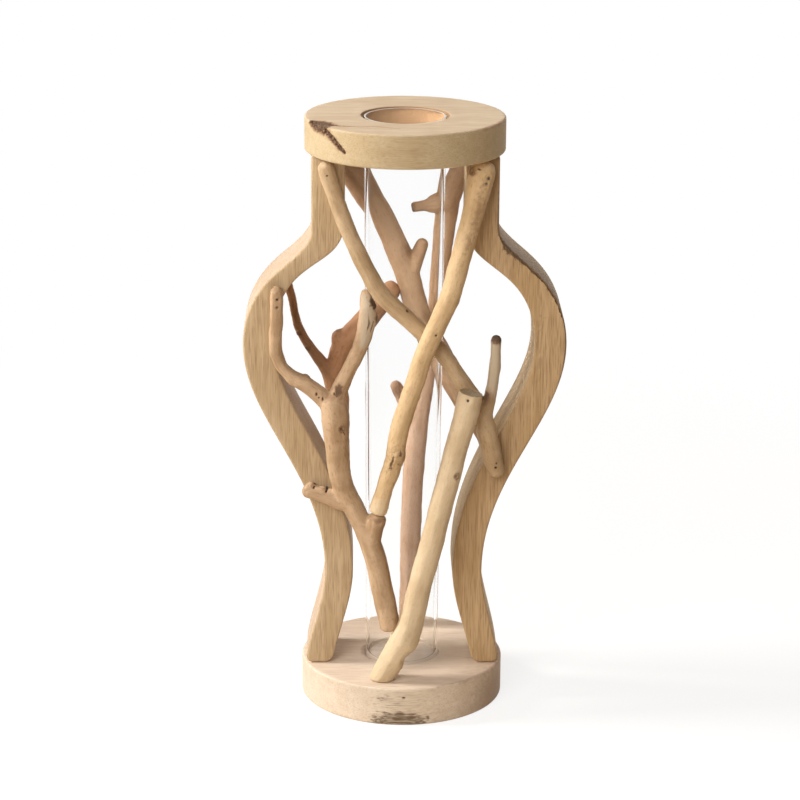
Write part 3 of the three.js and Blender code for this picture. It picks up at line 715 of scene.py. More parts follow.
@dataclass(frozen=True)
class BranchFinish:
    """Peeled driftwood: pale, with streaks along the limb, brown stains and painted shade, and grey ends."""

    name: str
    pale: Colour
    tan: Colour
    deep: Colour
    streaked: float = 0.5
    stain: Colour = (0.25, 0.135, 0.07)
    grey: Colour = (0.52, 0.45, 0.345)
    dark: Colour = (0.06, 0.034, 0.02)
    cut: Colour = (0.36, 0.285, 0.16)

    def material(self) -> Material:
        """Lays out the nodes.

        Returns:
            The material.
        """
        recipe = Recipe(self.name)
        place = recipe.coords()
        around = recipe.layer(Layer.ROUND, "Vector")
        height = recipe.add("ShaderNodeSeparateXYZ", {0: place}).outputs["Z"]
        broad = recipe.noise(place, scale=0.06, detail=3.0, swirl=0.5)
        wide = recipe.streaks(around, height, scale=1.7, pace=0.025)
        fine = recipe.streaks(around, height, scale=8.0, pace=0.06)
        flecks = recipe.fade(recipe.streaks(around, height, scale=15.0, pace=0.16), 0.6, 0.75)
        tone = recipe.maths("ADD", recipe.times(broad, 0.55), recipe.times(wide, 0.45))
        colour = recipe.blend(recipe.fade(tone, 0.4, 0.62), self.pale, self.tan)
        colour = recipe.blend(recipe.fade(fine, 0.52, 0.75, self.streaked), colour, self.deep)
        colour = recipe.blend(recipe.times(flecks, 0.35), colour, self.deep)
        colour = recipe.blend(recipe.times(recipe.layer(Layer.WORN), 0.8), colour, self.grey)
        # Brown stains, and painted shade from the marks that stand in for it.
        colour = recipe.blend(recipe.times(recipe.layer(Layer.STAIN), 0.75), colour, self.stain)
        rings = recipe.fade(recipe.noise(place, scale=1.1, detail=3.0), 0.35, 0.7, 0.6)
        cut = recipe.blend(rings, self.cut, self.stain)
        colour = recipe.blend(recipe.layer(Layer.END), colour, cut)
        colour = recipe.blend(recipe.layer(Layer.DARK), colour, self.dark)
        relief = recipe.maths("SUBTRACT", fine, recipe.times(flecks, 0.4))
        recipe.bump(relief, distance=0.2, strength=0.8)
        rough = recipe.maths("ADD", recipe.fade(fine, 0.2, 0.8, 0.2), 0.48)
        return recipe.finish(colour, rough, Specular_IOR_Level=RAW_SHEEN)


@dataclass(frozen=True)
class GlassFinish:
    """Clear drawn glass that lets the lamps through.

    Attributes:
        name: The material's name.
        tint: Its colour.
        refraction: How strongly it bends and mirrors light.
        foot_refraction: The same where it sits on the wood.
        frosted_highlight_pale: The lighter grains of its frosted lip, whose whitish frost also paints the
            lip's highlight.
        frosted_highlight_grey: The darker ones.
    """

    name: str = "clear_glass"
    tint: Colour = (0.985, 0.988, 0.985)
    refraction: float = 1.07
    foot_refraction: float = 1.001
    frosted_highlight_pale: Colour = (0.9, 0.92, 0.91)
    frosted_highlight_grey: Colour = (0.8, 0.83, 0.82)

    def material(self) -> Material:
        """Lays out the nodes.

        Returns:
            The material.
        """
        recipe = Recipe(self.name)
        smears = recipe.noise(recipe.stretch(recipe.coords(), (0.06, 0.06, 0.01)), scale=1.0, detail=2.0)
        tint = (*self.tint, 1.0)
        rough = recipe.fade(smears, 0.55, 0.9, 0.06)
        made = recipe.finish(tint, rough, Transmission_Weight=1.0, IOR=self.refraction)
        shadow = recipe.add("ShaderNodeLightPath", {}).outputs["Is Shadow Ray"]
        clear = recipe.add("ShaderNodeBsdfTransparent", {"Color": tint}).outputs[0]
        mixed = recipe.add("ShaderNodeMixShader", {0: shadow, 1: recipe.shader.outputs[0], 2: clear})
        recipe.feed(recipe.output.inputs["Surface"], mixed.outputs[0])
        return made

    def seated(self) -> Material:
        """Gives the glass of the foot, which mirrors nothing where it sits on the wood."""
        return replace(self, name=self.name + "_seated", refraction=self.foot_refraction).material()

    def frosted_highlight(self) -> Material:
        """Lays out the nodes of its frosted lip, whose whitish frost also paints the lip's highlight.

        Returns:
            The material.
        """
        recipe = Recipe(self.name + "_ground")
        grit = recipe.noise(recipe.coords(), scale=3.0, detail=2.0)
        # Painted highlight, in part: the lip is frosted whitish so that it shows as a pale ring.
        colour = recipe.blend(recipe.fade(grit, 0.3, 0.7), self.frosted_highlight_pale, self.frosted_highlight_grey)
        rough = recipe.fade(grit, 0.0, 1.0, 0.6)
        return recipe.finish(colour, rough, Transmission_Weight=0.35, IOR=self.refraction)


@dataclass(frozen=True)
class SteelFinish:
    """Dull drawn steel with a little tarnish."""

    name: str
    bright: Colour
    tarnish: Colour

    def material(self) -> Material:
        """Lays out the nodes.

        Returns:
            The material.
        """
        recipe = Recipe(self.name)
        clouds = recipe.noise(recipe.coords(), scale=0.9, detail=3.0)
        colour = recipe.blend(recipe.fade(clouds, 0.4, 0.7), self.bright, self.tarnish)
        return recipe.finish(colour, recipe.fade(clouds, 0.0, 1.0, 0.7), Metallic=1.0)


@dataclass
class TurnedDisc:
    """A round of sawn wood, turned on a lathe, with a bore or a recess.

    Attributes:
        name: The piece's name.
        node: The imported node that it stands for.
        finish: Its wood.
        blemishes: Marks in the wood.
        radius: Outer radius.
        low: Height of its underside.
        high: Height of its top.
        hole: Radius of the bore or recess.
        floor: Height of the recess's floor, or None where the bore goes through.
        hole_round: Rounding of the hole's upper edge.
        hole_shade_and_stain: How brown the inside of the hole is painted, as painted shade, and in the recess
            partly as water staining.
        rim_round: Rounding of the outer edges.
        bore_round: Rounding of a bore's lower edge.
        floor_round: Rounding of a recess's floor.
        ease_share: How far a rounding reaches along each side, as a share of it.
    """

    name: str
    node: str
    finish: BoardFinish
    blemishes: Sequence[Blemish]
    radius: float
    low: float
    high: float
    hole: float
    floor: float | None
    hole_round: float
    hole_shade_and_stain: float
    rim_round: float = 1.8
    bore_round: float = 0.5
    floor_round: float = 0.3
    ease_share: float = 0.6
    round_steps: int = 4
    steps: int = 200
    ring_step: float = 2.2

    def profile(self) -> list[Triple]:
        """Lists the corners of the section.

        Returns:
            Radius, height and rounding of each, from the middle or the bore outwards.
        """
        corners = [
            (self.radius, self.low, self.rim_round),
            (self.radius, self.high, self.rim_round),
            (self.hole, self.high, self.hole_round),
        ]
        if self.floor is None:
            corners = [(self.hole, self.low, self.bore_round), *corners]
        else:
            recess = [(self.hole, self.floor, self.floor_round), (0.0, self.floor, 0.0)]
            corners = [(0.0, self.low, 0.0), *corners, *recess]
        return [(radius, height, rounding * self.ease_share) for radius, height, rounding in corners]

    def build(self) -> Piece:
        """Builds and dresses the disc.

        Returns:
            The finished piece.
        """
        blank = Blank.turned(
            self.profile(),
            closed=self.floor is None,
            segments=self.round_steps,
            steps=self.steps,
            longest=self.ring_step,
        )
        for blemish in self.blemishes:
            blank.refine(blemish)
        blank.keep_normals()
        # Painted shade: the inside of the hole is browned where shade falls in it.
        for vert in blank.bm.verts:
            if math.hypot(vert.co.x, vert.co.y) < self.hole + 0.3 * self.hole_round:
                vert[blank.stain] = self.hole_shade_and_stain
        blank.mark(self.blemishes)
        made = blank.piece(self.name, self.finish.material(), WOOD_BODY)
        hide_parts(self.node)
        return made


@dataclass(frozen=True)
class Station:
    """A point of the side frame's middle line: half spread, height, slope in degrees and board width."""

    spread: float
    height: float
    slope: float
    width: float

    def point(self) -> Vector:
        """Gives the point in the frame's plane."""
        return Vector((self.spread, self.height))

    def way(self) -> Vector:
        """Gives the downward direction of the line there."""
        angle = math.radians(self.slope)
        return Vector((math.cos(angle), -math.sin(angle)))


@dataclass
class SideFrame:
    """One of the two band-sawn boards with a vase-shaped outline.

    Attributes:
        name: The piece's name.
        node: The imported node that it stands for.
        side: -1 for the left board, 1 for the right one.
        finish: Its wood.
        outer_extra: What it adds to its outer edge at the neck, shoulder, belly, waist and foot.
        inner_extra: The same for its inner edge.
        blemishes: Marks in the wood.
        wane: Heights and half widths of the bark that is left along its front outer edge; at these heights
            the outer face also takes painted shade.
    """

    name: str
    node: str
    side: int
    finish: BoardFinish
    outer_extra: Sequence[float]
    inner_extra: Sequence[float]
    blemishes: Sequence[Blemish] = ()
    wane: Sequence[tuple[float, float]] = ()
    thick: float = FRAME_THICK
    top: float = RING_UNDER - SEAT_GAP
    foot: float = BASE_TOP + SEAT_GAP
    foot_corner: float = 4.0
    foot_angle: float = 50.0
    edge_round: float = 1.2
    edge_angle: float = 40.0
    rind_shade_share: float = 0.8
    run_steps: int = 30
    width_steps: int = 3

    def runs(self) -> list[tuple[Station, Station, float, float]]:
        """Lists the smooth stretches of the middle line.

        Returns:
            Each stretch's two ends, from the neck down, with the shares of its two handles.
        """
        neck = Station(spread=37.7, height=254.5, slope=90.0, width=15.6)
        shoulder = Station(spread=54.3, height=230.0, slope=41.0, width=10.6)
        belly = Station(spread=72.9, height=191.0, slope=90.0, width=15.0)
        waist = Station(spread=32.7, height=71.0, slope=90.0, width=14.4)
        foot = Station(spread=43.2, height=self.foot, slope=82.0, width=13.7)
        return [
            (neck, shoulder, 0.37, 0.5),
            (shoulder, belly, 0.24, 0.5),
            (belly, waist, 0.28, 0.42),
            (waist, foot, 0.3, 0.29),
        ]

    def reaches(self, width: float, run: int, blend: float) -> tuple[float, float]:
        """Gives how far the board reaches from its middle line, outwards and inwards."""
        extras = (self.outer_extra, self.inner_extra)
        return tuple(width / 2.0 + extra[run] + (extra[run + 1] - extra[run]) * blend for extra in extras)

    def line(self) -> list[tuple[Vector, tuple[float, float]]]:
        """Samples the middle line.

        Returns:
            Points from the top down, each with the board's reach outwards and inwards there.
        """
        first = self.runs()[0][0]
        neck_steps = self.run_steps // 3
        neck_reach = self.reaches(first.width, 0, 0.0)
        samples = [
            (Vector((first.spread, self.top + (first.height - self.top) * step / neck_steps)), neck_reach)
            for step in range(neck_steps)
        ]
        for run, (start, end, start_share, end_share) in enumerate(self.runs()):
            reach = (end.point() - start.point()).length
            curve = interpolate_bezier(
                start.point(),
                start.point() + start.way() * start_share * reach,
                end.point() - end.way() * end_share * reach,
                end.point(),
                self.run_steps + 1,
            )
            for step, point in enumerate(curve[:-1]):
                blend = ease(0.0, 1.0, step / self.run_steps)
                width = start.width + (end.width - start.width) * blend
                samples.append((Vector(point), self.reaches(width, run, blend)))
        last = self.runs()[-1][1]
        clear = self.foot + 1.7 * self.foot_corner
        samples = [sample for sample in samples if sample[0].y > clear]
        samples.append((last.point(), self.reaches(last.width, len(self.runs()) - 1, 1.0)))
        return samples

    def wane_and_shade_marks(self) -> list[Blemish]:
        """Lays the left-over bark along the front outer edge, with painted shade over the outer face.

        Returns:
            The painted shade of the outer face, partly its weathered wane, and the bark of its edge, or
            nothing.
        """
        if not self.wane:
            return []
        samples = self.line()
        edge = []
        for (point, (outer, _)), (after, _) in zip(samples, samples[1:]):
            way = (after - point).normalized()
            edge.append(point + outer * Vector((-way.y, way.x)))
        bark = []
        rind_shade = []
        for height, width in self.wane:
            place = min(edge, key=lambda point: abs(point.y - height))
            corner = (self.side * place.x, -self.thick / 2.0, place.y)
            bark.append((*corner, width))
            rind_shade.append((*corner, self.rind_shade_share * self.thick))
        return [
            # Painted shade: the outer face, turned from the light, is browned, partly for its weathered wane.
            Blemish.along(Mark.STAIN, *rind_shade, ragged=0.4, facing=(self.side, 0.0, 0.0)),
            Blemish.along(Mark.BARK, *bark, depth=-0.7, ragged=0.5, strength=0.75),
        ]

    def cut(self) -> Blank:
        """Saws the board to its outline.

        Returns:
            The board as a blank, its edges rounded.
        """
        blank = Blank()
        bm = blank.bm
        samples = self.line()
        rows = len(samples)
        bmesh.ops.create_grid(bm, x_segments=self.width_steps, y_segments=rows - 1, size=0.5)
        for vert in bm.verts:
            row = round((0.5 - vert.co.y) * (rows - 1))
            point, (outer, inner) = samples[row]
            across = 2.0 * vert.co.x * (outer if vert.co.x > 0.0 else inner)
            ahead = samples[min(row + 1, rows - 1)][0] - samples[max(row - 1, 0)][0]
            way = ahead.normalized()
            x = point.x - way.y * across
            z = point.y + way.x * across
            if row == rows - 1:
                x += (z - self.foot) / -way.y * way.x
                z = self.foot
            vert.co = Vector((self.side * x, -self.thick / 2.0, z))
        skin = bmesh.ops.extrude_face_region(bm, geom=list(bm.faces))
        back = [item for item in skin["geom"] if isinstance(item, bmesh.types.BMVert)]
        bmesh.ops.translate(bm, vec=(0.0, self.thick, 0.0), verts=back)
        bmesh.ops.recalc_face_normals(bm, faces=bm.faces)
        self.round_edges(bm)
        return blank

    def round_edges(self, bm: bmesh.types.BMesh) -> None:
        """Rounds the foot's corners, then all the board's edges.

        Args:
            bm: The sawn board.
        """
        corners = [
            edge
            for edge in bm.edges
            if abs(edge.verts[0].co.y - edge.verts[1].co.y) > self.thick / 2.0
            and max(vert.co.z for vert in edge.verts) < self.foot + 0.01
            and edge.calc_face_angle() > math.radians(self.foot_angle)
        ]
        bevel(bm, corners, self.foot_corner, segments=6, affect="EDGES")
        sharp = [edge for edge in bm.edges if edge.calc_face_angle(0.0) > math.radians(self.edge_angle)]
        bevel(bm, sharp, self.edge_round, segments=3, affect="EDGES", clamp_overlap=True)
        bmesh.ops.recalc_face_normals(bm, faces=bm.faces)

    def build(self) -> Piece:
        """Builds and dresses the board.

        Returns:
            The finished piece.
        """
        blank = self.cut()
        marks = [*self.blemishes, *self.wane_and_shade_marks()]
        for blemish in marks:
            blank.refine(blemish)
        blank.keep_normals()
        blank.mark(marks)
        made = blank.piece(self.name, self.finish.material(), WOOD_BODY)
        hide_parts(self.node)
        return made


@dataclass
class Branch:
    """A peeled driftwood branch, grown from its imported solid.

    Attributes:
        node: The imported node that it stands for.
        finish: Its wood.
        brads: Names of the brads whose holes show in it.
        blemishes: Marks in the wood.
        cuts: Its sawn ends.
        seed: Offset of its own lumps.
        voxel: Edge length of its even mesh.
        rounds: How often that mesh is smoothed.
        swell: What makes up for the wood that smoothing takes off.
        lump: Height of its lumps.
        ridge: Height of its ridges.
        ridge_turns: How close the ridges lie round the limb.
        ridge_pace: How soon they change along it.
        nail_size: Half extents of a nail hole.
        nail_depth: How far a nail is sunk.
    """

    node: str
    finish: BranchFinish
    brads: Sequence[str] = ()
    blemishes: Sequence[Blemish] = ()
    cuts: Sequence[SawCut] = ()
    seed: float = 0.0
    voxel: float = 0.55
    rounds: int = 45
    swell: float = 0.42
    lump: float = 0.38
    ridge: float = 0.16
    ridge_turns: float = 2.4
    ridge_pace: float = 0.012
    nail_size: Triple = (0.56, 2.6, 0.56)
    nail_depth: float = 0.8

    def skin(self, nodes: Nodes) -> Blank:
        """Turns the faceted solid into a smooth, evenly meshed skin.

        Args:
            nodes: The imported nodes.

        Returns:
            The branch as a blank.
        """
        bm = bmesh.new()
        bm.from_mesh(nodes[self.node].data)
        bmesh.ops.remove_doubles(bm, verts=bm.verts, dist=1e-6)
        bmesh.ops.scale(bm, vec=(1.0 / MM, 1.0 / MM, 1.0 / MM), verts=bm.verts)
        mesh = bpy.data.meshes.new(self.node + "_core")
        bm.to_mesh(mesh)
        bm.free()
        core = put(self.node + "_core", mesh)
        remesh = core.modifiers.new("even", "REMESH")
        remesh.mode = "VOXEL"
        remesh.voxel_size = self.voxel
        rounded = core.modifiers.new("rounded", "SMOOTH")
        rounded.factor = 0.5
        rounded.iterations = self.rounds
        swollen = core.modifiers.new("swollen", "DISPLACE")
        swollen.mid_level = 0.0
        swollen.strength = self.swell
        graph = bpy.context.evaluated_depsgraph_get()
        blank = Blank(core.evaluated_get(graph).data)
        bpy.data.objects.remove(core)
        bpy.data.meshes.remove(mesh)
        return blank

    def weather(self, blank: Blank) -> None:
        """Gives the skin gentle lumps and ridges along the limbs.

        Args:
            blank: The smooth skin.
        """
        blank.keep_normals()
        shift = Vector((self.seed, 2.0 * self.seed, -self.seed))
        for vert in blank.bm.verts:
            normal = vert.normal.copy()
            point = vert.co + shift
            lumps = noise.noise(point * 0.1) + 0.4 * noise.noise(point * 0.27)
            around = [part * self.ridge_turns for part in normal]
            around[2] += point.z * self.ridge_pace
            ridges = noise.noise(Vector(around))
            vert.co += normal * (self.lump * lumps + self.ridge * ridges)

    def nail_holes(self, nodes: Nodes) -> list[Blemish]:
        """Finds where the brads go in.

        Args:
            nodes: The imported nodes.

        Returns:
            A sunk nail for each brad, at its outer end.
        """
        holes = []
        for name in self.brads:
            points = [vert.co / MM for vert in nodes["brad_" + name].data.vertices]
            outward = sorted(points, key=lambda point: -math.hypot(point.x, point.y))
            outer = outward[: len(points) // 3]
            head = tuple(sum(outer, Vector()) / len(outer))
            hole = Blemish(Mark.NAIL, head, self.nail_size, depth=self.nail_depth, ragged=0.15, strength=0.62)
            holes.append(hole)
        return holes

    def build(self, nodes: Nodes) -> Piece:
        """Builds and dresses the branch.

        Args:
            nodes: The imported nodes.

        Returns:
            The finished piece.
        """
        blank = self.skin(nodes)
        self.weather(blank)
        for cut in self.cuts:
            blank.saw(cut)
        marks = [*self.blemishes, *self.nail_holes(nodes)]
        for blemish in marks:
            if blemish.fineness() < self.voxel:
                blank.refine(blemish)
        blank.mark(marks)
        made = blank.piece("driftwood_" + self.node, self.finish.material(), WOOD_BODY, ROUND_CREASE)
        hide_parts(self.node)
        return made


@dataclass
class GlassTube:
    """The drawn glass tube: a tapered wall on a thick floor, flared at the mouth."""

    finish: GlassFinish
    node: str = "glass_tube"
    radius: float = 20.3
    foot_radius: float = 18.7
    mouth_radius: float = 20.9
    flare: float = 9.0
    wall: float = 1.7
    floor: float = 3.0
    low: float = RECESS_FLOOR + SEAT_GAP
    high: float = 304.5
    foot_round: float = 4.0
    neck_round: float = 5.0
    frosted_highlight_depth: float = 0.12
    round_steps: int = 6
    steps: int = 192

    def profile(self) -> list[Triple]:
        """Lists the corners of the wall's section.

        Returns:
            Radius, height and rounding of each, outside then inside.
        """
        lip = self.wall * 0.45
        neck = self.high - self.flare
        return [
            (0.0, self.low, 0.0),
            (self.foot_radius, self.low, self.foot_round * 0.45),
            (self.radius, neck, self.neck_round),
            (self.mouth_radius, self.high, lip),
            (self.mouth_radius - self.wall, self.high, lip),
            (self.radius - self.wall, neck, self.neck_round),
            (self.foot_radius - self.wall, self.low + self.floor, (self.foot_round - self.wall) * 0.5),
            (0.0, self.low + self.floor, 0.0),
        ]

    def build(self) -> Piece:
        """Builds and dresses the tube.

        Returns:
            The finished piece.
        """
        blank = Blank.turned(self.profile(), closed=False, segments=self.round_steps, steps=self.steps)
        heights = [face.calc_center_median().z for face in blank.bm.faces]
        made = blank.piece("drawn_glass_tube", self.finish.material(), TUBE_BODY, ROUND_CREASE)
        made.data.materials.append(self.finish.frosted_highlight())
        made.data.materials.append(self.finish.seated())
        for face, height in zip(made.data.polygons, heights):
            # Painted highlight: the lip's faces take the whitish frosted glass.
            if height > self.high - self.frosted_highlight_depth:
                face.material_index = 1
            elif height < self.low + 0.5 * self.foot_round:
                face.material_index = 2
        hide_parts(self.node)
        return made


@dataclass
class Fasteners:
    """Brads, screws and dowels, which stay as packed and get their finishes here."""

    brad: SteelFinish
    screw: SteelFinish
    dowel: BoardFinish

    def dress(self, nodes: Nodes) -> None:
        """Gives each fastener its material.

        Args:
            nodes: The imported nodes.
        """
        finishes = {
            "brad": self.brad.material(),
            "frame_screw": self.screw.material(),
            "foot_screw": self.screw.material(),
            "dowel": self.dowel.material(),
        }
        for name, node in nodes.items():
            for start, material in finishes.items():
                if name.startswith(start):
                    node.data.materials.clear()
                    node.data.materials.append(material)
                    log.info("%s: %s", name, material.name)


@dataclass(frozen=True)
class Lamp:
    """A square soft lamp that faces the vase.

    Attributes:
        name: The lamp's name.
        towards: Direction from the vase to the lamp.
        distance: How far away it hangs, in metres.
        size: Its side, in metres.
        level: Brightness that it gives a white sheet facing it at the vase.
        colour: Its colour.
    """

    name: str
    towards: Triple
    distance: float
    size: float
    level: float
    colour: Colour

    def hang(self, look_at: Triple) -> None:
        """Hangs the lamp.

        Args:
            look_at: The point that it faces, in metres.
        """
        made = bpy.data.lights.new(self.name, "AREA")
        made.size = self.size
        made.energy = self.level * (math.pi * self.distance) ** 2
        made.color = self.colour
        lamp = put(self.name, made)
        way = Vector(self.towards).normalized()
        lamp.rotation_euler = way.to_track_quat("Z", "Y").to_euler()
        lamp.location = Vector(look_at) + way * self.distance


LAMPS = (
    Lamp("key", (-0.84, 0.03, 0.54), distance=1.3, size=0.35, level=1.1, colour=(1.0, 0.97, 0.93)),
    Lamp("fill", (-0.38, -0.78, 0.5), distance=1.6, size=0.9, level=0.63, colour=(1.0, 0.975, 0.94)),
    Lamp("back", (0.35, 0.85, 0.4), distance=1.6, size=1.6, level=0.2, colour=(1.0, 0.95, 0.88)),
)


@dataclass
class Studio:
    """The floor, the light and the camera of the photograph.

    Attributes:
        look_at: The point that the camera looks at, in metres.
        distance: From that point to the camera.
        azimuth: Degrees to the right of the front.
        elevation: Degrees above the horizon.
        roll: Degrees about the camera's own axis.
        sensor: Width of the camera's sensor, in millimetres.
        lens: Focal length on that sensor.
        shift: Where that point falls, as shares of the picture's width.
        reach: How far the camera sees, in metres.
        ambient: Colour of the light from all round.
        ambient_level: Brightness of that light.
        floor_size: Side of the floor, in metres.
        floor_bounce: Colour that the floor throws up at the vase.
        floor_shade: How strongly lamps and shadows show on the floor.
        floor_glow: Brightness of the floor in a full shadow.
        floor_clear: Distances between which the floor turns plain white, in metres.
    """

    look_at: Triple = (0.0, 0.0, 0.1526)
    distance: float = 1.45
    azimuth: float = -1.0
    elevation: float = 17.3
    roll: float = 0.41
    sensor: float = 36.0
    lens: float = 127.81
    shift: tuple[float, float] = (-0.0041, 0.0112)
    reach: float = 20.0
    ambient: Colour = (1.0, 0.72, 0.5)
    ambient_level: float = 0.2
    floor_size: float = 6.0
    floor_bounce: Colour = (0.74, 0.63, 0.5)
    floor_shade: float = 0.26
    floor_glow: float = 0.8
    floor_clear: tuple[float, float] = (0.12, 0.7)

    def camera(self) -> None:
        """Sets the camera where the photograph was taken."""
        made = bpy.data.cameras.new("photo_camera")
        made.sensor_width = self.sensor
        made.lens = self.lens
        made.shift_x, made.shift_y = self.shift
        made.clip_end = self.reach
        camera = put("photo_camera", made)
        turn = Matrix.Rotation(math.radians(self.azimuth), 4, "Z")
        tilt = Matrix.Rotation(math.radians(90.0 - self.elevation), 4, "X")
        roll = Matrix.Rotation(math.radians(self.roll), 4, "Z")
        place = Matrix.Translation(self.look_at) @ turn @ tilt
        camera.matrix_world = place @ Matrix.Translation((0.0, 0.0, self.distance)) @ roll
        bpy.context.scene.camera = camera

    def world(self) -> None:
        """Makes a white surround whose light on the vase is warm and low."""
        world = bpy.data.worlds.new("white_surround")
        bpy.context.scene.world = world
        world.use_nodes = True
        layout = Layout(world.node_tree)
        white = layout.tree.nodes["Background"]
        layout.feed(white.inputs["Color"], (1.0, 1.0, 1.0, 1.0))
        glow = {"Color": (*self.ambient, 1.0), "Strength": self.ambient_level}
        warm = layout.add("ShaderNodeBackground", glow)
        sides = {0: layout.seen_rays(), 1: warm.outputs[0], 2: white.outputs[0]}
        mixed = layout.add("ShaderNodeMixShader", sides)
        layout.feed(layout.tree.nodes["World Output"].inputs["Surface"], mixed.outputs[0])

    def floor(self) -> None:
        """Lays a white floor that keeps a pale shadow and fades into the surround."""
        bm = bmesh.new()
        bmesh.ops.create_grid(bm, x_segments=2, y_segments=2, size=self.floor_size / 2.0)
        mesh = bpy.data.meshes.new("white_floor")
        bm.to_mesh(mesh)
        bm.free()
        floor = put("white_floor", mesh)
        recipe = Recipe("white_floor")
        place = recipe.add("ShaderNodeTexCoord", {}).outputs["Object"]
        away = recipe.add("ShaderNodeVectorMath", {0: place}, operation="LENGTH").outputs["Value"]
        plain = recipe.fade(away, *self.floor_clear)
        shade = (self.floor_shade, self.floor_shade, self.floor_shade, 1.0)
        matt = recipe.add("ShaderNodeBsdfDiffuse", {"Color": (*self.floor_bounce, 1.0)}).outputs[0]
        pale = recipe.add("ShaderNodeBsdfDiffuse", {"Color": shade}).outputs[0]
        glow = recipe.add("ShaderNodeEmission", {"Strength": self.floor_glow}).outputs[0]
        shadowed = recipe.add("ShaderNodeAddShader", {0: pale, 1: glow}).outputs[0]
        white = recipe.add("ShaderNodeEmission", {"Strength": 1.0}).outputs[0]
        seen = recipe.add("ShaderNodeMixShader", {0: plain, 1: shadowed, 2: white}).outputs[0]
        mixed = recipe.add("ShaderNodeMixShader", {0: recipe.seen_rays(), 1: matt, 2: seen}).outputs[0]
        recipe.feed(recipe.output.inputs["Surface"], mixed)
        recipe.tree.nodes.remove(recipe.shader)
        mesh.materials.append(recipe.material)

    def build(self) -> None:
        """Sets up the whole studio."""
        bpy.context.scene.view_settings.view_transform = "Standard"
        self.camera()
        self.world()
        self.floor()
        for lamp in LAMPS:
            lamp.hang(self.look_at)


# The side colours paint light and shade on the narrow faces: the ring's and the base's sides darker than
# their tops, the boards' narrow faces lighter.
RING_WOOD = BoardFinish(
    "ring_wood", Grain.ACROSS, pale=(0.665, 0.54, 0.385), tan=(0.595, 0.463, 0.312), deep=(0.45, 0.322, 0.2),
    pores=0.15, side=(0.82, 0.83, 0.75), stain=(0.31, 0.155, 0.072),
)
BASE_WOOD = BoardFinish(
    "base_wood", Grain.ACROSS, pale=(0.79, 0.665, 0.54), tan=(0.71, 0.575, 0.45), deep=(0.52, 0.385, 0.28),
    pores=0.15, side=(0.93, 0.97, 0.98),
)
LEFT_WOOD = BoardFinish(
    "left_frame_wood", Grain.UPRIGHT, pale=(0.585, 0.455, 0.295), tan=(0.51, 0.38, 0.23),
    deep=(0.31, 0.207, 0.115), pores=0.55, side=(1.06, 1.08, 1.25),
)
# This board's dark brown serves its grain lines and the painted shade laid on it.
RIGHT_WOOD = BoardFinish(
    "right_frame_wood", Grain.UPRIGHT, pale=(0.57, 0.405, 0.235), tan=(0.48, 0.325, 0.17),
    deep=(0.28, 0.17, 0.08), pores=0.55, side=(1.15, 1.25, 1.35), stain=(0.16, 0.088, 0.045),
)
DOWEL_WOOD = BoardFinish(
    "dowel_wood", Grain.UPRIGHT, pale=(0.68, 0.54, 0.36), tan=(0.6, 0.45, 0.28), deep=(0.42, 0.28, 0.15),
    pores=0.3,
)
CROSS_WOOD = BranchFinish(
    "cross_branch_wood", pale=(0.55, 0.41, 0.26), tan=(0.42, 0.295, 0.168), deep=(0.27, 0.16, 0.08)
)
UPPER_WOOD = BranchFinish(
    "upper_branch_wood", pale=(0.66, 0.485, 0.285), tan=(0.53, 0.37, 0.198), deep=(0.34, 0.205, 0.098),
    grey=(0.76, 0.64, 0.46),
)
FORK_WOOD = BranchFinish(
    "fork_branch_wood", pale=(0.53, 0.375, 0.24), tan=(0.38, 0.252, 0.145), deep=(0.225, 0.13, 0.065)
)
FOOT_WOOD = BranchFinish(
    "foot_branch_wood", pale=(0.67, 0.54, 0.365), tan=(0.58, 0.45, 0.285), deep=(0.42, 0.3, 0.168),
    streaked=0.35,
)
BACK_CROSS_WOOD = BranchFinish(
    "back_cross_wood", pale=(0.49, 0.315, 0.19), tan=(0.4, 0.243, 0.14), deep=(0.24, 0.13, 0.068)
)
BACK_FOOT_WOOD = BranchFinish(
    "back_foot_wood", pale=(0.6, 0.415, 0.3), tan=(0.52, 0.34, 0.23), deep=(0.33, 0.195, 0.12)
)
BACK_FORK_WOOD = BranchFinish(
    "back_fork_wood", pale=(0.42, 0.225, 0.118), tan=(0.345, 0.172, 0.086), deep=(0.19, 0.086, 0.039)
)
BRAD_STEEL = SteelFinish("brad_steel", bright=(0.16, 0.13, 0.11), tarnish=(0.05, 0.035, 0.03))
SCREW_STEEL = SteelFinish("screw_steel", bright=(0.62, 0.6, 0.57), tarnish=(0.4, 0.37, 0.33))

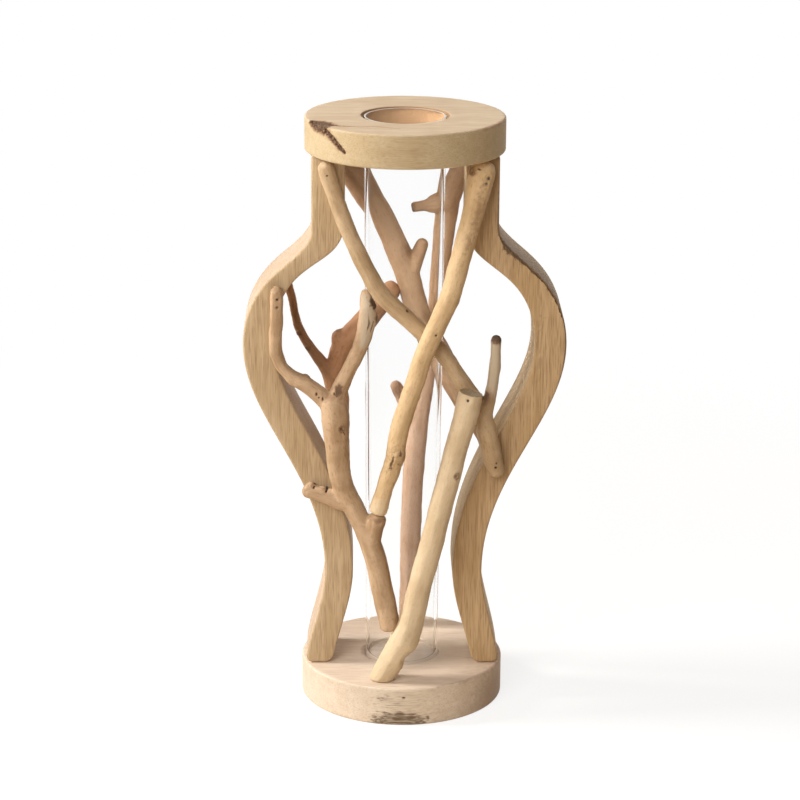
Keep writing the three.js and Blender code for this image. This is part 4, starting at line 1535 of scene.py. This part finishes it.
RING_MARKS = (
    Blemish.along(
        Mark.BARK,
        (-45.4, -15.6, RING_TOP, 1.6), (-42.4, -19.4, RING_TOP, 4.4), (-39.0, -22.6, RING_TOP, 4.2),
        (-36.0, -25.6, RING_TOP, 2.6), (-32.0, -27.6, RING_TOP, 1.1), (-27.3, -29.0, RING_TOP, 0.6),
        depth=-0.5, ragged=0.3,
    ),
    Blemish.along(
        Mark.BARK,
        (-46.2, -16.0, 304.2, 1.5), (-43.4, -24.0, 303.6, 2.9),
        (-40.6, -28.6, 303.4, 2.9), (-38.2, -29.4, 304.4, 2.0),
        depth=-0.5, ragged=0.3,
    ),
    Blemish.along(
        Mark.CRACK,
        (-39.2, -30.6, 303.2, 1.8), (-36.0, -34.5, 300.4, 1.8), (-33.6, -37.0, 298.0, 1.7),
        (-31.1, -39.0, 295.5, 1.3), (-29.7, -40.1, 294.3, 0.6),
        depth=0.9, ragged=0.35,
    ),
    Blemish.along(
        Mark.STAIN,
        (-31.0, -28.0, RING_TOP, 1.1), (-22.5, -30.2, RING_TOP, 1.0), (-16.6, -29.2, RING_TOP, 0.9),
        (-11.8, -30.4, RING_TOP, 0.8), (-3.2, -34.0, RING_TOP, 0.5),
        ragged=0.4, strength=0.95,
    ),
    # Painted shade along the right front of the top's edge, where its rounding turns from the light.
    Blemish.along(
        Mark.STAIN,
        (22.0, -44.3, 304.4, 0.6), (37.7, -31.6, 304.4, 1.1),
        (44.6, -20.8, 304.4, 1.3), (48.4, -8.5, 304.4, 1.0),
        ragged=0.4, strength=0.9,
    ),
    Blemish(Mark.STAIN, (-9.0, -49.0, 295.0), (10.0, 5.0, 3.5), ragged=0.7, strength=0.22),
    Blemish(Mark.STAIN, (4.0, -50.0, 296.5), (6.0, 5.0, 3.0), ragged=0.7, strength=0.18),
)
BASE_MARKS = (
    Blemish(Mark.WORN, (-2.6, -51.0, 1.0), (22.0, 12.0, 9.5), depth=0.0, ragged=0.3),
    Blemish(Mark.WORN, (-4.5, -51.0, 13.0), (20.0, 12.0, 8.0), depth=0.0, ragged=0.4, strength=0.55),
    Blemish(Mark.PIT, (0.3, -52.0, 15.2), (1.0, 2.0, 0.6), depth=0.6),
    # Painted shade on the right front of the side, turned from the light.
    Blemish(Mark.STAIN, (47.0, -22.0, 7.0), (20.0, 20.0, 14.0), ragged=0.5, strength=0.55),
    # Painted shade in a crescent along the recess's left rim.
    Blemish.along(
        Mark.STAIN,
        (-15.2, 12.8, BASE_TOP, 0.8), (-19.1, 5.2, BASE_TOP, 2.0),
        (-19.5, -3.4, BASE_TOP, 2.2), (-16.3, -11.2, BASE_TOP, 1.0),
        ragged=0.4, strength=0.9,
    ),
    # Painted shade along the right front of the top's edge, where its rounding turns from the light.
    Blemish.along(
        Mark.STAIN,
        (17.6, -48.3, 19.4, 0.7), (31.6, -40.5, 19.4, 1.1),
        (42.1, -29.5, 19.4, 1.2), (48.9, -15.9, 19.4, 0.9),
        ragged=0.4, strength=0.6,
    ),
)
RIGHT_FRAME_WANE = (
    (248.0, 0.8), (243.0, 2.6), (238.0, 2.2), (232.0, 1.2),
    (224.0, 0.9), (214.0, 0.8), (205.0, 0.6), (196.0, 0.4),
)
RIGHT_FRAME_MARKS = (
    Blemish.along(
        Mark.STAIN,
        (67.9, FRAME_FRONT, 207.0, 0.5), (66.9, FRAME_FRONT, 196.0, 0.7), (66.0, FRAME_FRONT, 186.0, 0.4),
        strength=0.4,
    ),
    Blemish.along(
        Mark.STAIN,
        (69.6, FRAME_FRONT, 206.0, 0.4), (68.6, FRAME_FRONT, 194.0, 0.6), (66.6, FRAME_FRONT, 172.0, 0.4),
        strength=0.35,
    ),
    # Painted shade on the upper front of the board, where the branches and the ring in front shade it.
    Blemish.along(
        Mark.STAIN,
        (48.0, FRAME_FRONT, 290.0, 12.0), (48.5, FRAME_FRONT, 262.0, 12.0), (53.0, FRAME_FRONT, 240.0, 10.0),
        ragged=0.3, strength=0.3, facing=FRONTWARDS,
    ),
    # Painted shade on the front lower down, where the branches in front shade it.
    Blemish.along(
        Mark.STAIN,
        (56.0, FRAME_FRONT, 160.0, 8.0), (51.0, FRAME_FRONT, 142.0, 9.0), (44.0, FRAME_FRONT, 120.0, 8.0),
        ragged=0.3, strength=0.25, facing=FRONTWARDS,
    ),
)
CROSS_MARKS = (
    Blemish(Mark.NAIL, (46.4, -26.4, 129.9), (0.6, 2.0, 0.6), depth=0.7),
    Blemish(Mark.PIT, (1.3, -27.1, 211.9), (1.0, 1.2, 0.9), depth=0.7),
    Blemish.along(Mark.WORN, (43.5, -23.0, 168.0, 4.0), (45.2, -23.0, 178.0, 4.5), (45.8, -23.0, 197.0, 4.5)),
    Blemish(Mark.BARK, (46.4, -22.5, 197.4), (4.2, 6.0, 4.0), depth=0.1, strength=0.9),
    # Painted shade at the twig's base, where the foot branch's top shades it.
    Blemish(Mark.STAIN, (42.0, -25.0, 166.5), (3.4, 5.0, 5.0)),
    Blemish(Mark.BARK, (40.4, -25.5, 167.0), (2.0, 3.0, 3.0), depth=-0.2, ragged=0.5, strength=0.7),
)
UPPER_MARKS = (
    Blemish(Mark.KNOT, (32.7, -26.9, 282.0), (2.0, 3.0, 2.2), depth=0.5),
    Blemish(Mark.PIT, (35.6, -29.5, 284.0), (1.2, 2.0, 0.6), turn=25.0, depth=0.4),
    Blemish(Mark.STAIN, (35.0, -29.0, 262.0), (2.2, 4.0, 13.0), turn=12.0, ragged=0.7, strength=0.8),
    Blemish(Mark.STAIN, (30.5, -32.0, 247.0), (1.6, 3.0, 9.0), turn=14.0, ragged=0.7, strength=0.7),
    Blemish(Mark.STAIN, (27.6, -31.0, 219.0), (2.4, 4.0, 2.4), strength=0.9),
    Blemish(Mark.LUMP, (-2.6, -33.5, 137.0), (5.6, 6.0, 5.6), depth=1.6),
    Blemish(Mark.STAIN, (-2.0, -33.5, 137.0), (5.6, 6.0, 6.4), ragged=0.9, strength=0.7),
    Blemish(Mark.PIT, (-5.6, -34.6, 137.0), (0.8, 3.0, 3.0), turn=14.0, depth=1.0, ragged=0.8, strength=0.8),
    Blemish(Mark.PIT, (-6.9, -34.2, 133.6), (0.7, 3.0, 1.3), depth=0.8, ragged=0.8, strength=0.8),
    Blemish(Mark.PIT, (-1.2, -34.6, 139.8), (0.8, 3.0, 1.8), turn=-12.0, depth=0.7, ragged=0.8, strength=0.6),
    Blemish(Mark.PIT, (-2.6, -35.0, 134.4), (1.4, 3.0, 0.6), turn=-30.0, depth=0.5, ragged=0.8, strength=0.5),
    Blemish(Mark.LUMP, (-13.2, -27.6, 105.6), (6.5, 7.0, 5.5), depth=1.2),
    Blemish(Mark.WORN, (-12.6, -28.0, 107.0), (8.0, 8.0, 10.0), strength=0.9),
)
FORK_MARKS = (
    Blemish(Mark.PIT, (-43.9, -25.9, 168.4), (0.7, 2.0, 1.0), depth=0.6),
    Blemish(Mark.PIT, (-42.7, -26.0, 166.6), (0.6, 2.0, 0.6), depth=0.5),
    Blemish(Mark.PIT, (-40.8, -26.2, 165.9), (0.6, 2.0, 1.3), depth=0.6),
    Blemish(Mark.STAIN, (-32.6, -26.0, 170.0), (3.4, 4.0, 4.6), ragged=0.5),
    Blemish(Mark.BARK, (-32.8, -26.2, 170.4), (2.2, 3.0, 3.2), depth=-0.4, ragged=0.5, strength=0.75),
    Blemish(Mark.STAIN, (-35.4, -26.8, 167.6), (3.8, 3.4, 3.2), ragged=0.7, strength=0.55),
    # Painted shade down the right side of the trunk below the crotch.
    Blemish.along(
        Mark.STAIN,
        (-28.0, -26.0, 168.0, 2.6), (-27.0, -27.0, 158.0, 3.0), (-27.5, -28.0, 146.0, 2.6),
        ragged=0.4, strength=0.6,
    ),
    Blemish(Mark.PIT, (-35.2, -26.6, 168.6), (0.9, 2.0, 1.1), turn=30.0, depth=0.5, ragged=0.6),
    Blemish(Mark.KNOT, (-31.4, -30.0, 151.5), (1.8, 3.0, 2.4), depth=0.5),
    Blemish.along(
        Mark.CRACK, (-31.0, -30.2, 151.0, 0.5), (-29.8, -28.8, 148.0, 0.3), depth=0.4, strength=0.8
    ),
    Blemish.along(
        Mark.WORN, (-18.6, -25.0, 217.0, 4.0), (-17.2, -26.0, 208.0, 5.5), (-20.0, -26.0, 194.0, 3.5)
    ),
    Blemish(Mark.BARK, (-15.8, -24.0, 214.5), (1.5, 4.0, 3.6), turn=-25.0, depth=0.3, ragged=0.6),
    Blemish(Mark.BARK, (-13.9, -24.0, 207.5), (1.2, 4.0, 2.6), depth=0.4, ragged=0.6, strength=0.8),
    Blemish.along(
        Mark.CRACK,
        (-18.4, -26.2, 212.0, 0.35), (-17.6, -26.6, 205.0, 0.5), (-20.2, -26.4, 196.0, 0.3),
        depth=0.5, strength=0.6,
    ),
    Blemish.along(
        Mark.CRACK, (-15.6, -25.6, 206.0, 0.4), (-17.4, -25.6, 198.0, 0.3), depth=0.5, strength=0.6
    ),
    Blemish(Mark.LUMP, (-47.0, -20.8, 118.6), (2.6, 3.0, 2.2), depth=1.4),
    Blemish(Mark.LUMP, (-42.6, -20.5, 118.4), (2.0, 3.0, 2.0), depth=-0.8),
    Blemish(Mark.PIT, (-38.8, -20.5, 116.6), (0.9, 2.4, 0.8), depth=0.6, strength=0.6),
    Blemish(Mark.LUMP, (-48.5, -21.0, 176.6), (2.6, 3.0, 2.0), depth=1.0),
    Blemish.along(
        Mark.STAIN,
        (-57.0, -21.0, 182.0, 1.6), (-52.0, -21.5, 179.0, 2.6),
        (-48.0, -21.5, 177.4, 2.8), (-45.0, -22.0, 175.0, 1.6),
        ragged=0.5,
    ),
    Blemish(Mark.LUMP, (-13.2, -27.6, 101.8), (5.5, 6.0, 4.5), depth=0.9),
    # Painted shadow on the stub's top, under the upper branch's end.
    Blemish.along(
        Mark.STAIN, (-17.5, -29.5, 104.4, 1.2), (-13.0, -32.5, 103.2, 1.6), (-9.0, -29.0, 103.0, 1.2)
    ),
    # Painted shade down the right side of the lower trunk.
    Blemish.along(
        Mark.STAIN,
        (-12.5, -30.0, 99.0, 4.0), (-9.5, -31.0, 84.0, 5.0),
        (-4.5, -34.0, 66.0, 5.0), (-3.0, -36.0, 54.0, 4.5),
        ragged=0.4, strength=0.45,
    ),
)
FOOT_MARKS = (
    Blemish(Mark.KNOT, (26.0, -37.4, 129.2), (1.7, 3.0, 2.2), depth=0.45),
    Blemish(Mark.LUMP, (3.4, -40.5, 31.5), (5.5, 9.0, 6.0), depth=-2.2),
)
FOOT_HEAD_CUT = SawCut(place=(33.0, -32.5, 171.3), way=(0.2, -0.03, 0.98), reach=14.0)
BACK_CROSS_MARKS = (Blemish(Mark.STAIN, (4.0, 22.6, 231.5), (4.4, 6.0, 6.0), ragged=0.5),)
BACK_UPPER_MARKS = (
    Blemish(Mark.LUMP, (17.0, 26.5, 257.0), (6.0, 6.0, 4.0), depth=1.2),
    Blemish(Mark.LUMP, (15.5, 26.5, 249.0), (6.0, 6.0, 4.0), depth=1.0),
    Blemish(Mark.BARK, (4.6, 26.0, 251.6), (1.6, 5.0, 3.4), depth=0.0, strength=0.35),
)
BACK_FOOT_MARKS = (Blemish(Mark.STAIN, (-2.6, 37.0, 152.0), (6.0, 7.0, 7.0)),)
BACK_FORK_MARKS = (
    Blemish(Mark.BARK, (-53.4, 17.8, 187.7), (2.0, 3.0, 1.6), depth=0.5, strength=0.45),
    Blemish(Mark.BARK, (-48.8, 17.8, 179.7), (2.0, 3.0, 1.6), depth=0.5, strength=0.45),
    Blemish.along(
        Mark.STAIN, (-58.0, 18.0, 203.0, 3.0), (-54.0, 18.0, 190.0, 3.0), (-43.0, 18.5, 171.0, 4.0)
    ),
    Blemish(Mark.STAIN, (-40.0, 19.0, 167.0), (4.0, 4.0, 5.0), strength=0.8),
    Blemish(Mark.BARK, (-33.6, 21.8, 188.2), (2.2, 3.4, 1.2), depth=0.2, ragged=0.5, strength=0.4),
    Blemish(Mark.STAIN, (-34.0, 22.2, 187.0), (4.0, 5.0, 3.0), strength=0.7),
)
UPPER_BRADS = ("front_upper_top", "front_upper_low", "front_crossing")
FORK_BRADS = ("front_fork_top", "front_fork_low", "front_fork_stub", "front_fork_crotch", "front_fork_foot")
BACK_CROSS_BRADS = ("back_cross_top", "back_cross_foot")
BACK_UPPER_BRADS = ("back_upper_top", "back_crossing")
BACK_FORK_BRADS = ("back_fork_twig", "back_fork_trunk")
BRANCHES = (
    Branch("front_cross_branch", CROSS_WOOD, ("front_cross_top", "front_cross_foot"), CROSS_MARKS, seed=3.0),
    Branch("front_upper_branch", UPPER_WOOD, UPPER_BRADS, UPPER_MARKS, seed=11.0),
    Branch("front_fork_branch", FORK_WOOD, FORK_BRADS, FORK_MARKS, seed=23.0),
    Branch("front_foot_branch", FOOT_WOOD, ("front_foot_head",), FOOT_MARKS, (FOOT_HEAD_CUT,), seed=37.0),
    Branch("back_cross_branch", BACK_CROSS_WOOD, BACK_CROSS_BRADS, BACK_CROSS_MARKS, seed=41.0),
    Branch("back_upper_branch", BACK_CROSS_WOOD, BACK_UPPER_BRADS, BACK_UPPER_MARKS, seed=53.0),
    Branch("back_foot_branch", BACK_FOOT_WOOD, ("back_foot_head",), BACK_FOOT_MARKS, seed=67.0),
    Branch("back_fork_branch", BACK_FORK_WOOD, BACK_FORK_BRADS, BACK_FORK_MARKS, seed=71.0),
)


def screw_sinks(nodes: Nodes, room: float = 0.5, cover: float = 0.4) -> list[Blemish]:
    """Finds where the screws go into the base from below.

    Args:
        nodes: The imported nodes.
        room: How far each hole reaches past the rim of its screw's head.
        cover: How far it reaches above the head's flat.

    Returns:
        A countersunk hole for each screw.
    """
    sinks = []
    for name, node in nodes.items():
        if name.startswith(("frame_screw", "foot_screw")):
            points = [vert.co / MM for vert in node.data.vertices]
            low = min(point.z for point in points)
            rim = [point for point in points if point.z < low + 0.05]
            middle = sum(rim, Vector()) / len(rim)
            reach = max((point - middle).length for point in rim) + room
            place = (middle.x, middle.y, 0.0)
            sinks.append(Blemish(Mark.SINK, place, (reach, reach, 3.0), depth=low + cover, ragged=0.0))
    return sinks


def main() -> None:
    """Loads the frame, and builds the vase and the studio."""
    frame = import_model()
    nodes = frame["nodes"]
    Studio().build()
    TurnedDisc(
        "turned_base",
        "base_disc",
        BASE_WOOD,
        [*BASE_MARKS, *screw_sinks(nodes)],
        radius=52.0,
        low=0.0,
        high=BASE_TOP,
        hole=19.3,
        floor=RECESS_FLOOR,
        hole_round=0.8,
        hole_shade_and_stain=0.45,
    ).build()
    TurnedDisc(
        "turned_top_ring",
        "top_ring",
        RING_WOOD,
        RING_MARKS,
        radius=50.0,
        low=RING_UNDER,
        high=RING_TOP,
        hole=21.8,
        floor=None,
        hole_round=1.2,
        hole_shade_and_stain=1.0,
    ).build()
    SideFrame(
        "left_frame_board",
        "left_side_frame",
        side=-1,
        finish=LEFT_WOOD,
        outer_extra=(1.0, 0.0, 0.5, 0.0, 0.0),
        inner_extra=(0.0, -1.6, 0.0, 0.0, 0.0),
    ).build()
    SideFrame(
        "right_frame_board",
        "right_side_frame",
        side=1,
        finish=RIGHT_WOOD,
        outer_extra=(1.0, 1.4, 1.0, 0.6, 0.0),
        inner_extra=(0.0, 0.0, 0.0, 0.0, 0.0),
        blemishes=RIGHT_FRAME_MARKS,
        wane=RIGHT_FRAME_WANE,
    ).build()
    for branch in BRANCHES:
        branch.build(nodes)
    GlassTube(GlassFinish()).build()
    Fasteners(BRAD_STEEL, SCREW_STEEL, DOWEL_WOOD).dress(nodes)


if __name__ == "__main__":
    logging.basicConfig(level=logging.INFO, format="%(name)s %(message)s")
    main()
